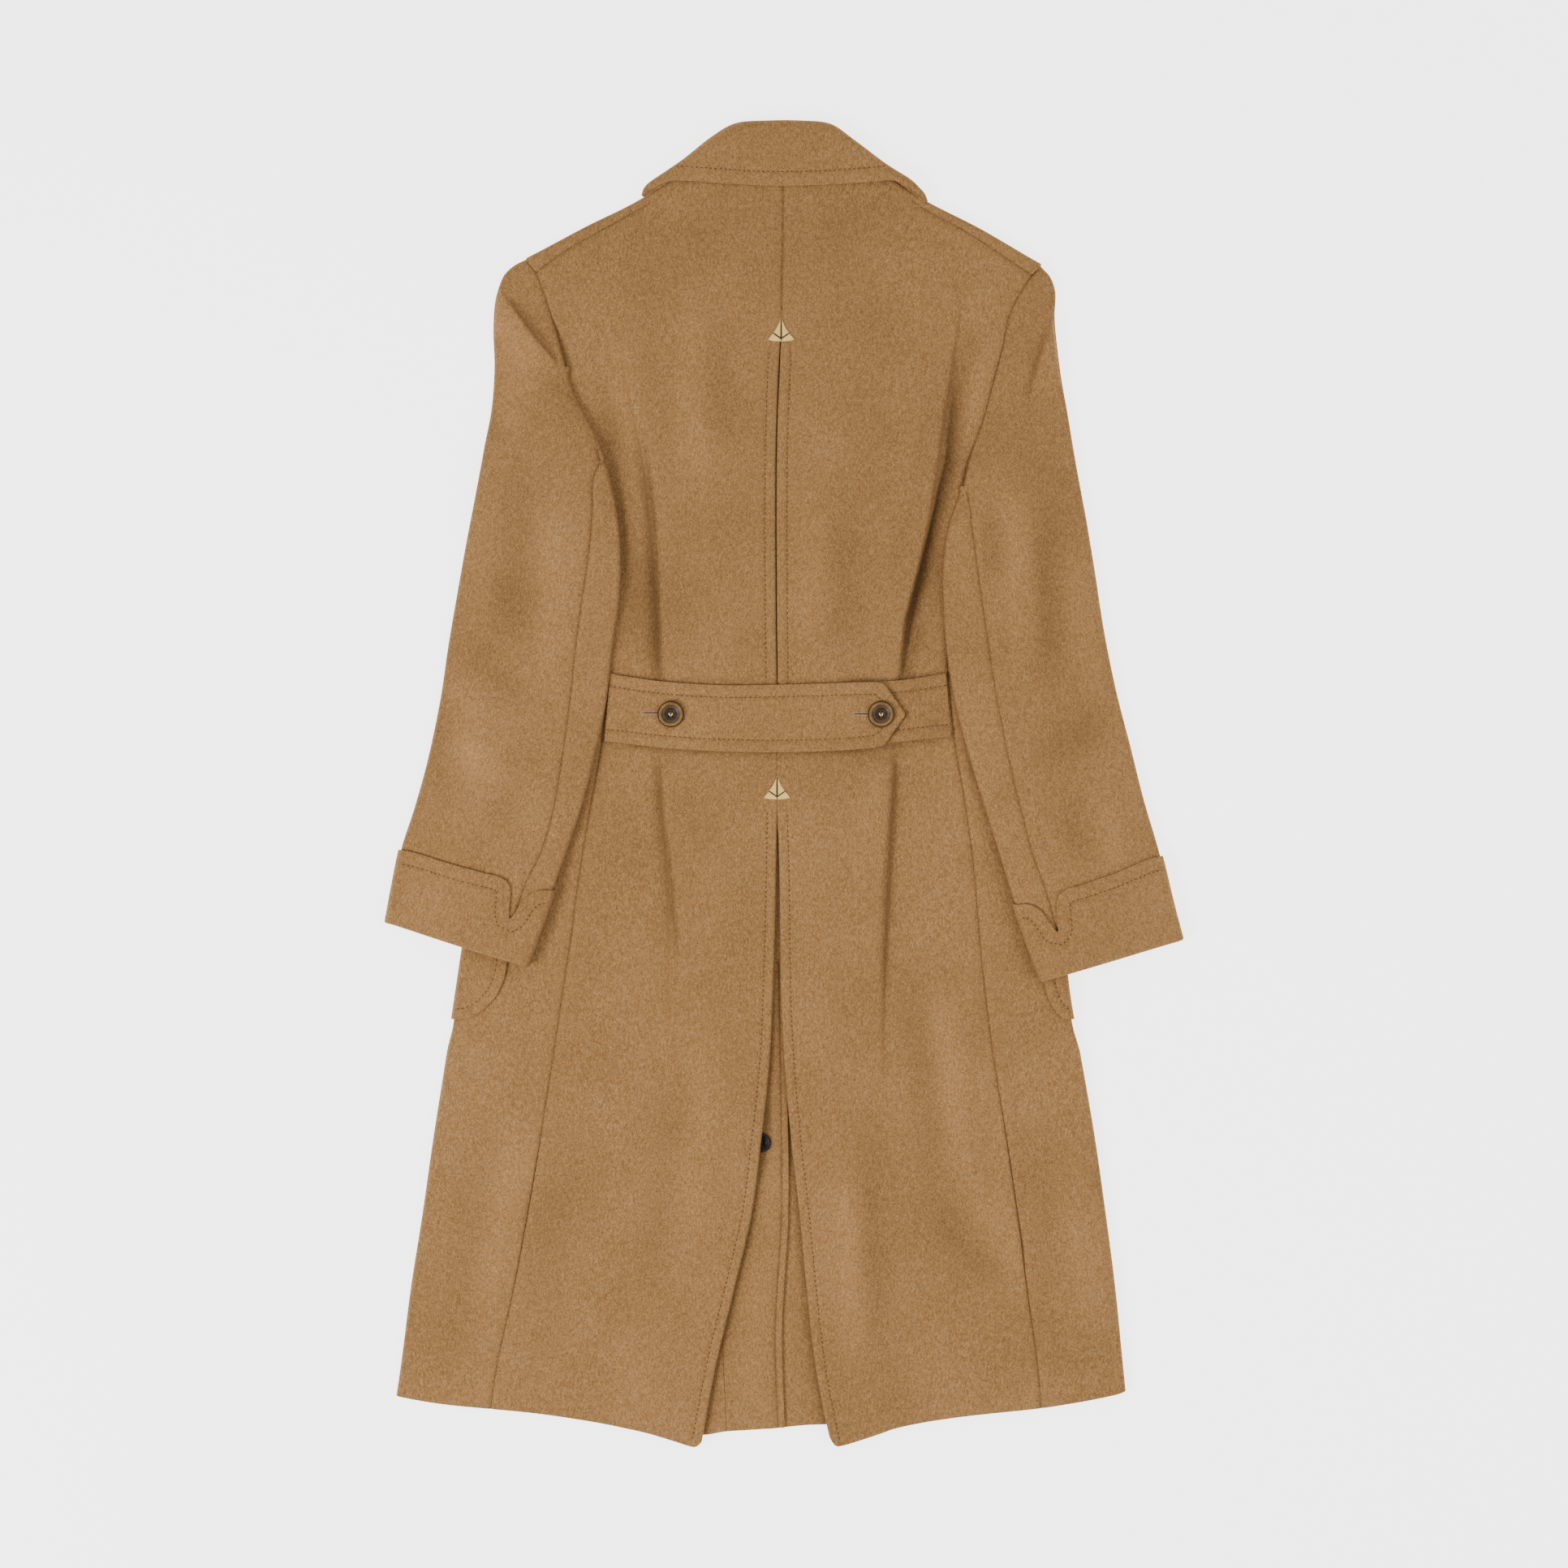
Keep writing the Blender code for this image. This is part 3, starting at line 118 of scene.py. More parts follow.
RIGHT_BODY = (
    (-620, 324, 243, 117, 46.0),
    (-600, 322, 241, 115, 40.5),
    (-540, 316, 236, 109, 29.1),
    (-470, 309, 226, 103, 21.0),
    (-400, 300, 217, 98, 14.4),
    (-330, 290, 207, 93, 6.5),
    (-260, 278, 196, 90, 0.5),
    (-200, 267, 188, 90, -2.6),
    (-140, 260, 182, 92, -3.6),
    (-80, 253, 177, 95, -4.4),
    (-20, 247, 169, 98, -6.0),
    (40, 244, 159, 102, -6.4),
    (100, 244, 153, 107, -5.3),
    (150, 246, 154, 113, -5.7),
    (200, 249, 158, 123, -6.0),
    (250, 256, 163, 133, -6.2),
    (300, 263, 172, 141, -6.0),
    (345, 270, 187, 147, -5.0),
    (376, 272, 195, 152, -3.6),
    (407, 274, 203.5, 156, -2.4),
    (440, 276, 211, 161, -2.1),
    (474, 278, 231, 158, -1.4),
    (482, 279, 240.5, 156, -1.0),
    (580, 282, 330, 140, -0.1),
)

# Height of the tuck's folded edge over the back, by y
LEFT_TUCK = (
    (-330, 0.0), (-260, 1.8), (-180, 4.2), (-60, 6.0), (12, 5.8), (29, 0.0), (99, 0.0),
    (107, 3.6), (118, 6.0), (140, 7.4), (180, 8.2), (280, 8.2), (360, 6.2), (420, 4.0), (460, 1.6),
    (500, 0.0),
)
RIGHT_TUCK = (
    (-310, 0.0), (-240, 1.8), (-160, 4.4), (-60, 6.0), (12, 5.8), (29, 0.0), (99, 0.0),
    (107, 4.0), (118, 6.6), (140, 8.2), (180, 9.0), (260, 8.8), (330, 6.8), (390, 4.6), (430, 2.1),
    (475, 0.0),
)
TUCK_RISE = 26.0
TUCK_DROP = 4.5

# Lower edges, across the coat
LEFT_HEM = (
    (-372, -559), (-369.3, -563.5), (-365.5, -567.2), (-359, -570.6), (-318, -577.6), (-273, -582),
    (-228, -586.6), (-182, -593.4), (-148, -599.5), (-126, -604), (-103, -610.8), (-92, -614.4),
    (-85.5, -616.2), (-81.5, -616), (-78.5, -613.4), (-76.4, -609),
)
RIGHT_HEM = (
    (42, -604), (44, -609), (46.2, -613.4), (49.2, -615.7), (53.5, -615.4), (67, -611.5), (90, -604),
    (101, -600.2), (123, -595.7), (169, -589), (239, -581.4), (282, -574.6), (305, -570),
    (313, -568), (319, -565.2), (322.4, -561.4), (325, -556),
)
UNDERLAY_HEM = (
    (-110, -607), (-73, -606), (-55, -603), (-35, -601.7), (-3, -599.5), (25, -597), (80, -596),
)

# Upper edge of each back: neck, then the shoulder seam, across the coat
LEFT_TOP = (
    (-236, 473), (-231, 476.4), (-216, 488), (-197, 500.6), (-168, 516.9), (-145, 529.8),
    (-122, 542.8), (-99, 556.8), (-76, 573.5), (-70, 576.5), (-50, 573.8), (-25, 570.5), (0, 569.3),
)
RIGHT_TOP = (
    (0, 569.3), (25, 571), (48, 574.6), (64, 576.5), (70, 575), (90, 562.5), (110, 548.5),
    (135, 533), (161, 519.5), (185, 505.0), (206, 491.0), (221, 480.6), (231, 474.1), (236, 469),
)

# Shoulder fold, from the neck to the shoulder point: where it lies, and the seam's place behind it
RIDGE_COLUMNS = ("share", "x", "y", "seam_x")
LEFT_RIDGE = (
    (0.0, -74, 586, -75), (0.33, -131, 546.6, -127), (0.66, -186, 518.8, -180), (1.0, -238, 490.5, -229),
)
RIGHT_RIDGE = (
    (0.0, 73.5, 585.6, 73), (0.33, 125, 547.8, 122), (0.66, 184, 517, 178), (1.0, 237.5, 485, 229),
)

# Front panels, which meet in a double-breasted overlap below the neck
LEAD_REACH = 80.0
LEAD_REACH_TOP = 58.0
LEAD_SPAN = (-620.0, 546.0)
FRONT_NECKLINE = ((0.0, 500.0), (58.0, 546.0), (72.5, 584.0))
UNDERARM = {"left": (290.0, 55.0), "right": (226.0, 40.0)}
UNDERARM_MARGIN = 26.0
ARMHOLE_START = {"left": -196.0, "right": 163.0}
POCKET_LIFT_ROWS = (-252.0, -224.0, 6.0, 34.0)
POCKET_LIFT_INNER = (80.0, 93.0)
SIDE_PLACE = 300.0
POCKET_INNER = 114.0
POCKET_TOP = -2.0
POCKET_CLEAR = 0.6
POCKET_STACK = STEP + 0.9
POCKET_STACK_END = (20.0, 70.0)
OVERLAP_RAMP = (6.0, 24.0)

# Patch pockets round the side folds: width on the back, lower edge, and the corner's height
POCKET_EDGE = {"left": (44.0, -219.0, 46.0), "right": (22.5, -219.0, 34.0)}

# Sleeves: rows from the armhole to the cuff. ox, oy: outer edge, ix, iy: inner edge,
# seam: elbow seam round the ring, crown: rise of the upper layer
SLEEVE_COLUMNS = ("ox", "oy", "ix", "iy", "seam", "crown")
LEFT_SLEEVE = (
    (-241, 489, -203.5, 388, 3.60, 0.0),
    (-252.5, 483, -203, 385, 3.60, 1.0),
    (-261.6, 474, -202.5, 382, 3.60, 2.0),
    (-267, 460, -201.5, 378.5, 3.60, 3.0),
    (-270, 445, -199.5, 373, 3.60, 3.8),
    (-271, 420, -194.5, 361, 3.58, 4.4),
    (-270, 390, -186, 344.5, 3.45, 4.6),
    (-272, 355.6, -172.5, 318, 3.15, 4.6),
    (-278, 318, -162, 284, 2.90, 4.6),
    (-286.5, 272.6, -154.5, 246, 2.84, 4.6),
    (-295.6, 227, -152, 208.4, 2.81, 4.6),
    (-304.6, 178, -153.6, 169, 2.79, 4.6),
    (-313, 129, -159.7, 126.8, 2.795, 4.6),
    (-320.5, 78.5, -165.7, 74, 2.80, 4.4),
    (-332, 23.4, -178, 16, 2.83, 4.2),
    (-344, -20.4, -190.6, -29.4, 2.86, 4.0),
    (-353.7, -50, -203.5, -67.2, 2.87, 3.6),
    (-358.2, -68, -214, -97.4, 2.84, 3.2),
    (-364.3, -99, -226, -132, 2.84, 2.8),
    (-369.6, -127.6, -239, -167.6, 2.84, 2.4),
)
RIGHT_SLEEVE = (
    (240.5, 481.7, 163.5, 276.3, 3.30, 0.0),
    (248.8, 472, 163.5, 274, 3.25, 1.0),
    (253.3, 457.5, 163.3, 271.5, 3.12, 2.0),
    (252.5, 436, 162.6, 266, 2.97, 3.0),
    (254.1, 413.7, 158.2, 255.2, 2.90, 3.8),
    (258.6, 378.3, 152, 234, 2.83, 4.4),
    (264.6, 344.3, 149, 212.2, 2.80, 4.6),
    (272.2, 299, 147.6, 190.3, 2.776, 4.6),
    (280.5, 253.7, 148.4, 167, 2.766, 4.6),
    (289.5, 200.8, 150, 136.7, 2.752, 4.6),
    (298.6, 142, 154.4, 101.2, 2.75, 4.6),
    (310, 86, 162.7, 60.4, 2.76, 4.4),
    (322.8, 36.2, 174.8, 16.6, 2.783, 4.2),
    (334.8, -12, 188.4, -27.2, 2.80, 4.0),
    (345.4, -48.3, 202, -71, 2.813, 3.6),
    (353, -77, 214, -110.2, 2.80, 3.2),
    (360.5, -108.7, 226, -145, 2.81, 2.8),
    (369.6, -143.4, 239.7, -181.2, 2.81, 2.4),
)
SLEEVE_FOLD_RADIUS = 2.9
SLEEVE_DROP = 34.0
SLEEVE_FOLD_RINGS = tuple(1.0 + step / 10 for step in range(1, 10))
SEAM_NEAR = (10.0, 7.0, 4.6, 2.8, 1.5, 0.7, 0.0)
SEAM_FAR = (0, 0.02, 0.05, 0.1, 0.17, 0.27, 0.4, 0.6, 0.8, 1.0)
SEAM_FAR_TURNED = (0, 0.05, 0.1, 0.2, 0.3, 0.4, 0.5, 0.65, 0.8, 1.0)
SEAM_NEAR_TURNED = (0.3, 0.6, 0.9, 1.0)
UNDER_STEPS = (-4.0, 0.5, 8.0, 15.0, 22.0, 29.0, SLEEVE_DROP + 2)
UNDER_LIMITS = (0.12, 0.90, 0.97)
ARMHOLE_ROWS = 5
SLEEVE_LIFT_FADE = {"left": (392.0, 446.0), "right": (282.0, 336.0)}

# Turned-back cuffs. Columns: place round the ring, rows before the sleeve's end where the cuff starts
CUFF_EDGE = (
    (0.0, 2.15), (0.5, 2.2), (1.0, 2.25), (2.0, 2.35), (2.3, 2.15), (2.55, 2.05), (2.68, 2.0),
    (2.755, 1.75), (2.81, 1.0), (2.87, 1.6), (2.93, 1.85), (3.0, 1.92), (3.5, 2.0), (4.0, 2.15),
)
CUFF_HANG = 0.03
CUFF_LIFT = (3.4, 2.5)
CUFF_LEVELS = (
    0.0, 0.012, 0.03, 0.05, 0.07, 0.09, 0.105, 0.12, 0.135, 0.15, 0.17, 0.2, *np.linspace(0.24, 1.0, 20),
)
CUFF_NOTCH = (
    2.72, 2.745, 2.765, 2.78, 2.79, 2.8, 2.81, 2.82, 2.83, 2.845, 2.86, 2.88, 2.9, 2.93, 2.96,
)
CUFF_BRIM_STEPS = 8
SLEEVE_ROW_LENGTH = 33.0

# Collar: lower edge, rolled upper edge, height of the lower edge over the back, roll, underlayer
COLLAR_COLUMNS = ("edge_x", "edge_y", "roll_x", "roll_y", "stand_off", "radius")
COLLAR = (
    (-131.6, 547.6, -132.6, 548.4, 0.2, 1.0),
    (-127.6, 550.4, -131.2, 553.4, 0.6, 1.7),
    (-121.5, 554.2, -128.0, 558.0, 1.2, 2.6),
    (-113.6, 558.3, -121.0, 563.3, 2.6, 3.4),
    (-100, 561.3, -106.5, 573.2, 3.0, 4.6),
    (-82, 560.6, -89.5, 585.5, 1.4, 6.0),
    (-62, 559.3, -68, 602.5, 0.4, 6.2),
    (-40, 558, -45, 615.5, 0.2, 6.2),
    (-13, 556.8, -15, 618, 0.2, 6.2),
    (13, 557, 16, 618, 0.2, 6.2),
    (40, 557.8, 43, 615, 0.2, 6.2),
    (62, 559, 64, 601, 0.4, 6.2),
    (84, 560.5, 84.5, 585.5, 1.4, 6.0),
    (101, 561.3, 101, 573.6, 3.0, 4.6),
    (115.5, 554.5, 117.5, 563.3, 2.6, 3.4),
    (123.5, 550.0, 128, 553.5, 1.2, 2.4),
    (128.6, 546.2, 131.8, 548.4, 0.6, 1.6),
    (132.6, 542.0, 133.8, 542.9, 0.2, 1.0),
)
STAND_HALF = 50.0
COLLAR_NECK_CLEAR = 3.0
COLLAR_STUB = 9.0
COLLAR_STUB_FALL = 0.25
COLLAR_SEAT = 0.1
COLLAR_LEAST_RISE = 0.6
COLLAR_NECK_FADE = (64.0, 84.0)
COLLAR_SECTIONS = 105
COLLAR_FALLS = (
    0.0, 0.012, 0.03, 0.055, 0.09, 0.13, 0.17, 0.205, 0.23, 0.25, 0.27, 0.3, 0.34, 0.4, 0.5, 0.6, 0.7,
    0.8, 0.9,
)
ROLL_PAST = (15.0, 75.0)
ROLL_STEPS = 14
STAND_ROWS = 7
STAND_COLUMNS = 33
STAND_SINK = 0.4

# Half belt: a long piece with a point, over a short piece from the other seam
# Columns: place across, upper edge, lower edge
BELT_LONG = (
    (-164.5, 102.7, 40.0), (-113.6, 95.3, 34.0), (-56.2, 91.6, 30.4), (-5.7, 92.1, 29.6),
    (49.5, 93.6, 31.2), (84.2, 94.4, 34.0), (92.0, 93.0, 36.0),
)
BELT_TIP = (112.1, 64.6)
BELT_SHORT = ((71, 94.4, 35.5), (109, 96.6, 39.6), (153.5, 103.4, 44.5))
BELT_CLEAR = 0.45
BELT_LAP = (48.0, 66.0)
TIP_RISE = STEP + 1.0
BELT_ENDS = {"belt_long": (-164.5, 92.0), "belt_short": (70.0, 153.0)}
BELT_SPACING = 3.6
BELT_SHARES = (
    0.0, 0.015, 0.035, 0.06, 0.09, 0.12, 0.15, 0.175, 0.19, 0.2, 0.21, 0.225, 0.245, 0.28, 0.33, 0.38, 0.44,
)
BELT_LEAN = 5.0
BELT_LEAN_REACH = 12.0
TIP_REACHES = (0.1, 0.2, 0.3, 0.4, 0.5, 0.6, 0.7, 0.8, 0.88, 0.95, 1.0)
TIP_TAPER = 0.80
TIP_TAPER_POWER = 1.2
TIP_ROUND = 4.0

# Buttons: turned horn with a raised rim, and the vent's dark button
BELT_BUTTONS = {"left": (-105.3, 64.9), "right": (90.2, 64.9)}
BUTTON_RADIUS = 12.3
BUTTON_HEIGHT = 4.2
BUTTON_STEPS = 72
HOLE_OFFSET = 2.3
HOLE_REACH = 1.15
HOLE_DEPTH = 1.5
THREAD_STRANDS = (-0.28, 0.28)
THREAD_ENDS = ((0.6, -1.8), (1.7, 1.3))

# Buttonholes: eye and place across of the other end, their stitches, and those round the eye
BUTTONHOLES = (((-131.0, 66.3), -117.5), ((65.0, 65.2), 78.0))
BUTTONHOLE_PITCH = 0.85
BUTTONHOLE_REACH = (0.55, 2.0)
EYE_OFFSET = 0.4
EYE_TURN = 1.9
EYE_STITCHES = 7
EYE_REACH = (0.7, 2.3)

# Vent button, and the rise of the cloth at it
VENT_BUTTON = (-21.0, -333.7)
VENT_BUTTON_RADIUS = 9.0
VENT_BUTTON_HEIGHT = 3.0
VENT_BUTTON_STEPS = 48
VENT_BUMP = 3.6
VENT_BUMP_REACH = (14.0, 48.0)

# Sewn tacks that close the pleat at its ends: middle of each, over the folded edges
TACKS = {"upper": (-2.6, 422.0), "lower": (-6.4, -4.0)}
TACK_RIDGE = 3.0
TACK_LEAF_STITCHES = 26
TACK_FOOT_STITCHES = 18
TACK_SPINE = (0.55, 11.2, 17.6)
TACK_LEAF = (7.1, 11.4, 13.3, 0.10)
TACK_FOOT = ((0.8, 6.4, -8.0, 4.8), (0.6, 11.4, -10.4, 1.3))
# Painted shadow lines between the tack's petals: one down the middle and one slanting to each side
TACK_CENTRE_SHADOW = ((0.0, 10.8), (0.0, -10.2))
TACK_SIDE_SHADOW = ((0.7, -7.2), (7.3, -2.5))

# Vent underlays: free edge of the upper one by height, how far the other reaches past it, and its seam
UNDERLAY_EDGE = (
    (-620, 1.0), (-598, 0.9), (-547, -1.1), (-504, -1.6), (-456, 1.1), (-403, 4.2), (-328, 4.2), (50, -2),
)
UNDERLAY_LAP = 28.0
UNDERLAY_END = -600.0
UNDERLAY_ROWS = 130
UNDERLAY_HEM_ROWS = 4
UNDERLAY_PRESS = (6.5, -620.0, -160.0)
UNDERLAY_COLUMNS = 20
UNDERLAY_EVEN_COLUMNS = 24
UNDERLAY_NEAR_START = 13.5
UNDERLAY_NEAR = (0.0, 0.9, 2.0, 3.5, 5.0, 6.0, 6.8, 7.6, 8.8, 11.0)
UNDERLAY_SEAM = ((-54.0, -601.0), (-55.0, -569.0), (-56.5, -540.0), (-57.0, -511.0))

# Centre edges are drawn together where they are sewn, and a little less where they are pressed
SEWN_CLOSE = 0.9
SEWN_SPAN = (426.0, 436.0)
PRESSED_SPAN = (-60.0, -10.0)
PRESSED_SHARE = 0.9

# Shoulder point, and how a sleeve's end turns down to the armhole and sinks onto the body
SHOULDER_REACH = 1.6
SHOULDER_POWER = 8
TURN_SHARES = (1.0, 0.8, 0.55, 0.25)
TURN_INSET = 0.7
ARMHOLE_SINK = 1.5
SINK_START = (45.0, 30.0)

# Hem of the fronts behind the hem of the back, and where it joins the visible hem
FRONT_HEM_LINE = (
    (-280, -581.5), (-228, -583), (-182, -586), (-148, -589), (-100, -592), (-40, -591), (20, -588),
    (80, -586), (123, -585), (169, -583), (245, -581.4),
)
HEM_JOIN = {"left": 273.0, "right": 239.0}

# Rows and columns of the fronts and sleeves
SETTLE_STEPS = 30
UPPER_START = 180.0
CHEST_STEPS = 24
CHEST_BEND = 18.0
CHEST_LEAD = 27.0
CHEST_MARGIN = 5.0
SLEEVE_STEP = 0.125

Side = namedtuple("Side", "name sign body sleeve hem top ridge tuck")

# Soft folds. Columns: height (below 0 for a trough), width to the left and right of the line, the line
BACK_FOLDS = (
    (1.5, 14, 14, ((-157, 432), (-146, 395), (-138, 350), (-131, 300), (-124, 240), (-118, 190))),
    (-1.2, 10, 10, ((-176, 400), (-165, 350), (-158, 300), (-152, 250), (-146, 190), (-143, 130))),
    (-0.9, 16, 16, ((-62, 450), (-60, 400), (-58, 350), (-57, 300))),
    (0.8, 18, 18, ((-86, 460), (-84, 400), (-82, 330), (-80, 260))),
    (-0.8, 20, 20, ((55, 280), (57, 220), (58, 160), (58, 100))),
    (0.7, 18, 18, ((30, 290), (32, 220), (33, 130))),
    (1.6, 9, 9, ((206, 430), (188, 390), (176, 355), (166, 315), (155, 268), (147, 232), (140, 192))),
    (1.9, 7, 7, ((140, 192), (133, 165), (122, 146), (118, 120), (115, 105))),
    (-1.0, 9, 9, ((182, 440), (168, 400), (158, 360), (150, 310))),
    (-1.1, 15, 15, ((118, -160), (124, -220), (131, -270), (138, -330), (150, -400))),
    (1.0, 13, 13, ((150, -170), (155, -240), (160, -310), (168, -380))),
    (-0.9, 14, 14, ((139, -366), (158, -418), (186, -448), (215, -470))),
    (0.9, 16, 16, ((170, -350), (190, -400), (214, -430), (240, -450))),
    (-1.0, 13, 13, ((82, -330), (85, -390), (88, -450), (90, -555))),
    (0.7, 16, 16, ((60, -320), (62, -400), (66, -480), (70, -570))),
    (-0.8, 18, 18, ((-100, -250), (-104, -320), (-112, -400), (-122, -480))),
    (0.8, 20, 20, ((-70, -180), (-72, -260), (-80, -350), (-95, -450))),
    (-0.7, 24, 24, ((-190, -300), (-205, -380), (-222, -470), (-236, -560))),
    (0.6, 26, 26, ((215, -250), (225, -340), (236, -430), (246, -540))),
)
SLEEVE_FOLDS = {
    "left": (
        (2.6, 2.6, 20, ((-264, 464), (-256, 447), (-237, 421), (-219, 399), (-207, 381))),
        (-1.2, 22, 22, ((-240, 330), (-246, 260), (-250, 190), (-252, 120))),
        (0.9, 18, 18, ((-215, 280), (-212, 210), (-214, 140), (-220, 80))),
        (-1.0, 16, 16, ((-290, 150), (-275, 110), (-250, 85), (-225, 76))),
        (0.9, 16, 16, ((-312, 60), (-290, 30), (-262, 12), (-236, 6))),
        (-0.8, 18, 18, ((-318, 90), (-312, 20), (-322, -40))),
        (-0.8, 14, 14, ((-246, 40), (-255, -10), (-268, -55))),
    ),
    "right": (
        (2.4, 20, 2.6, ((252, 440), (243, 407), (236, 384), (231, 362))),
        (-1.3, 12, 12, ((196, 262), (196, 225), (197, 186))),
        (-1.3, 14, 14, ((240, 277), (243, 205), (246, 140), (249, 80))),
        (1.0, 16, 16, ((215, 300), (218, 230), (222, 160), (228, 90))),
        (0.9, 15, 15, ((268, 250), (272, 190), (282, 120), (292, 60))),
        (-0.9, 16, 16, ((300, 80), (275, 45), (245, 30), (215, 28))),
        (-0.8, 14, 14, ((262, 10), (272, -40), (285, -80))),
        (0.8, 14, 14, ((300, 0), (306, -50), (314, -85))),
    ),
}
FOLD_GAIN = 2.3
FOLD_FADE = 0.3
# Painted shade and highlight in the cloth's colour: darker by HOLLOW_SHADE for each millimetre a fold lowers
# the cloth, lighter where it raises it, within SHADE_LIMITS, and painted dark lines of SEAM_LINE and
# STITCH_LINE width along seams and stitching
HOLLOW_SHADE = 0.055
SHADE_LIMITS = (-0.09, 0.3)
SEAM_SHADE = 0.42
SEAM_LINE = 1.1
STITCH_SHADE = 0.10
STITCH_LINE = 1.6

# Painted shade: dark hollows beside the tucks and edges, painted shadows along the belt's edges and round its
# point, a wide shade below the collar and on the short belt, and dark lines along the sleeves' creases.
# Columns: strength, width to the left and right, the line
BACK_SHADOWS = (
    (0.46, 11.0, 2.0, (
        (-112, 40), (-114.5, 90), (-115.5, 133), (-117.5, 190), (-120, 246), (-128, 306), (-134, 350))),
    (0.12, 18, 18, ((-166, 380), (-156, 320), (-146, 246), (-141, 155), (-140, 100))),
    (0.66, 2.0, 13.0, (
        (100, 40), (107, 96), (113, 152), (126, 201), (142, 262), (151, 300), (158, 366), (162, 400))),
    (0.10, 26, 20, ((150, 430), (140, 370), (132, 300), (112, 230), (100, 160))),
    (0.30, 2.0, 8.0, ((-116, 60), (-116, 30), (-112.5, -30), (-106, -78), (-101, -130), (-97, -190))),
    (0.26, 8.0, 2.0, ((98, 70), (100, 34), (97.5, -30), (93, -90), (91, -150), (90, -220))),
    (0.20, 3.4, 3.4, (
        (-260, 112), (-164, 103), (-114, 95.5), (-56, 92), (-6, 92.5), (50, 94), (109, 97), (154, 104),
        (250, 114))),
    (0.32, 3.0, 3.0, (
        (-260, 50), (-164, 38.5), (-114, 32.5), (-56, 28.5), (-6, 27.8), (55, 29.5), (109, 37), (154, 43),
        (250, 54))),
    (0.08, 30, 30, ((-120, 540), (-60, 530), (0, 528), (70, 530), (130, 530))),
)
TIP_SHADOWS = (
    (0.34, 2.4, 2.4, ((84, 104), (94.5, 93), (113.8, 64.6), (94.5, 35.5), (84, 26))),
    (0.12, 24, 24, ((106, 130), (126, 84), (148, 44), (166, 10))),
)
SLEEVE_SHADOWS = {
    "left": (
        (0.34, 1.6, 1.6, (
            (-268, 470), (-262.5, 457), (-250.5, 441), (-232.5, 416), (-215, 395), (-203, 376))),
    ),
    "right": (
        (0.30, 2.0, 4.0, ((250, 436), (242.5, 413), (235, 388), (229, 366), (224, 345))),
    ),
}
SKIRT_FOLDS = (
    (-0.8, 22, 22, ((-270, -290), (-285, -380), (-300, -470), (-318, -560))),
    (0.7, 20, 20, ((-235, -300), (-262, -400), (-285, -500))),
    (-0.7, 18, 18, ((232, -300), (252, -400), (268, -500))),
    (0.7, 20, 20, ((250, -320), (275, -430), (290, -540))),
)
UNDERLAY_FOLDS = (
    (-0.25, 8, 8, ((-40, -480), (-46, -540), (-50, -600))),
    (0.4, 9, 9, ((-20, -420), (-24, -500), (-28, -590))),
    (-0.25, 8, 8, ((14, -440), (20, -520), (26, -590))),
)

# Painted shade on the vent's underlays beside the folded edges of the backs
UNDERLAY_SHADOWS = (
    (0.30, 6.0, 11.0, (
        (-2, -60), (-9, -200), (-13, -260), (-20, -330), (-29, -400), (-45, -470), (-62, -540), (-73, -600),
        (-100, -750))),
    (0.22, 9.0, 6.0, (
        (0, -60), (2, -260), (9, -330), (17, -400), (24, -470), (32, -540), (43, -600), (62, -700))),
)

# Depth and width of pressed lines: a sewn seam, and a row of topstitching behind a folded edge
SEAM_DIP = (0.9, 1.9)
SEAM_ROLL = (0.45, 6.5, 4.0)
SEAM_SPAN = (-620.0, 580.0)
CENTRE_SEAM = (436.0, 580.0)
SHOULDER_SEAM = 128.0
SHOULDER_END = 236.1
COVERED_MARGIN = (3.0, 4.0)
STITCH_DIP = (0.75, 1.8)
STITCH_REACH = 2.4
VENT_PRESS = 0.5
PLEAT_PRESS = 0.8
EDGE_PUFF = 0.55
PUFF_TRAIL = (0.5, 4.0, 3.0)

# Topstitching: how far each row lies inside its edge, and the pitch, length and place of its stitches
PLEAT_STITCH = 9.0
PLEAT_SPANS = ((36.0, 408.0), (-630.0, -20.0))
STITCHED_SPANS = ((97.0, 405.0), (-610.0, -24.0))
STITCHED_STEP = 3.0
BELT_STITCH = 11.0
COLLAR_STITCH = 13.0
CUFF_STITCH = 12.5
POCKET_STITCH = 9.5
STITCH_PITCH = 4.5
STITCH_LONG = 2.0
STITCH_RADIUS = 0.62
SEAM_RADIUS = 0.42
SEAM_LAP = 0.4
STITCH_UNEVEN = (0.94, 1.06)
STITCH_CLIMB = 1.0
LINE_STEP = 1.5
LINE_CLEAR = 0.3
SHORTEST_LINE = 4
RAY_START = 0.2

# Small rounded threads: sides, and the reach and size of each ring along one
PILL_SIDES = 6
PILL_PROFILE = ((-1.0, 0.35), (-0.72, 0.85), (0.0, 1.0), (0.72, 0.85), (1.0, 0.35))

# Rows and columns of the fine walls
RIM = 0.75
RIM_ANGLE = 62.0
ROW_STEP = 5.0
HEM_SHARES = (0.0, 0.02, 0.05, 0.1, 0.2, 0.32, 0.44, 0.56, 0.7, 0.85)
HEM_ROW = -575.0
FIRST_ROW = -555.0
LAST_ROW = 435.0
TOP_SPAN = 130.0
TOP_SHARES = (0.975, 0.987, 0.995, 1.0)
NEAR_RETURN = (RETURN_WIDTH, 11.0, 7.0, 4.0)
PANEL_COLUMNS = (90.0, 4.3)
SIDE_COLUMNS = (72.0, 4.8)
FRONT_UNDER = (0.4, 0.75, 1.0)
FRONT_OVER = (0.0, *(share / 18 for share in range(1, 18)), 0.975, 0.985, 0.993, 1.0)
SHOULDER_SHARES = (0.2, 0.4, 0.6, 0.75, 0.88, 0.96, 1.0)
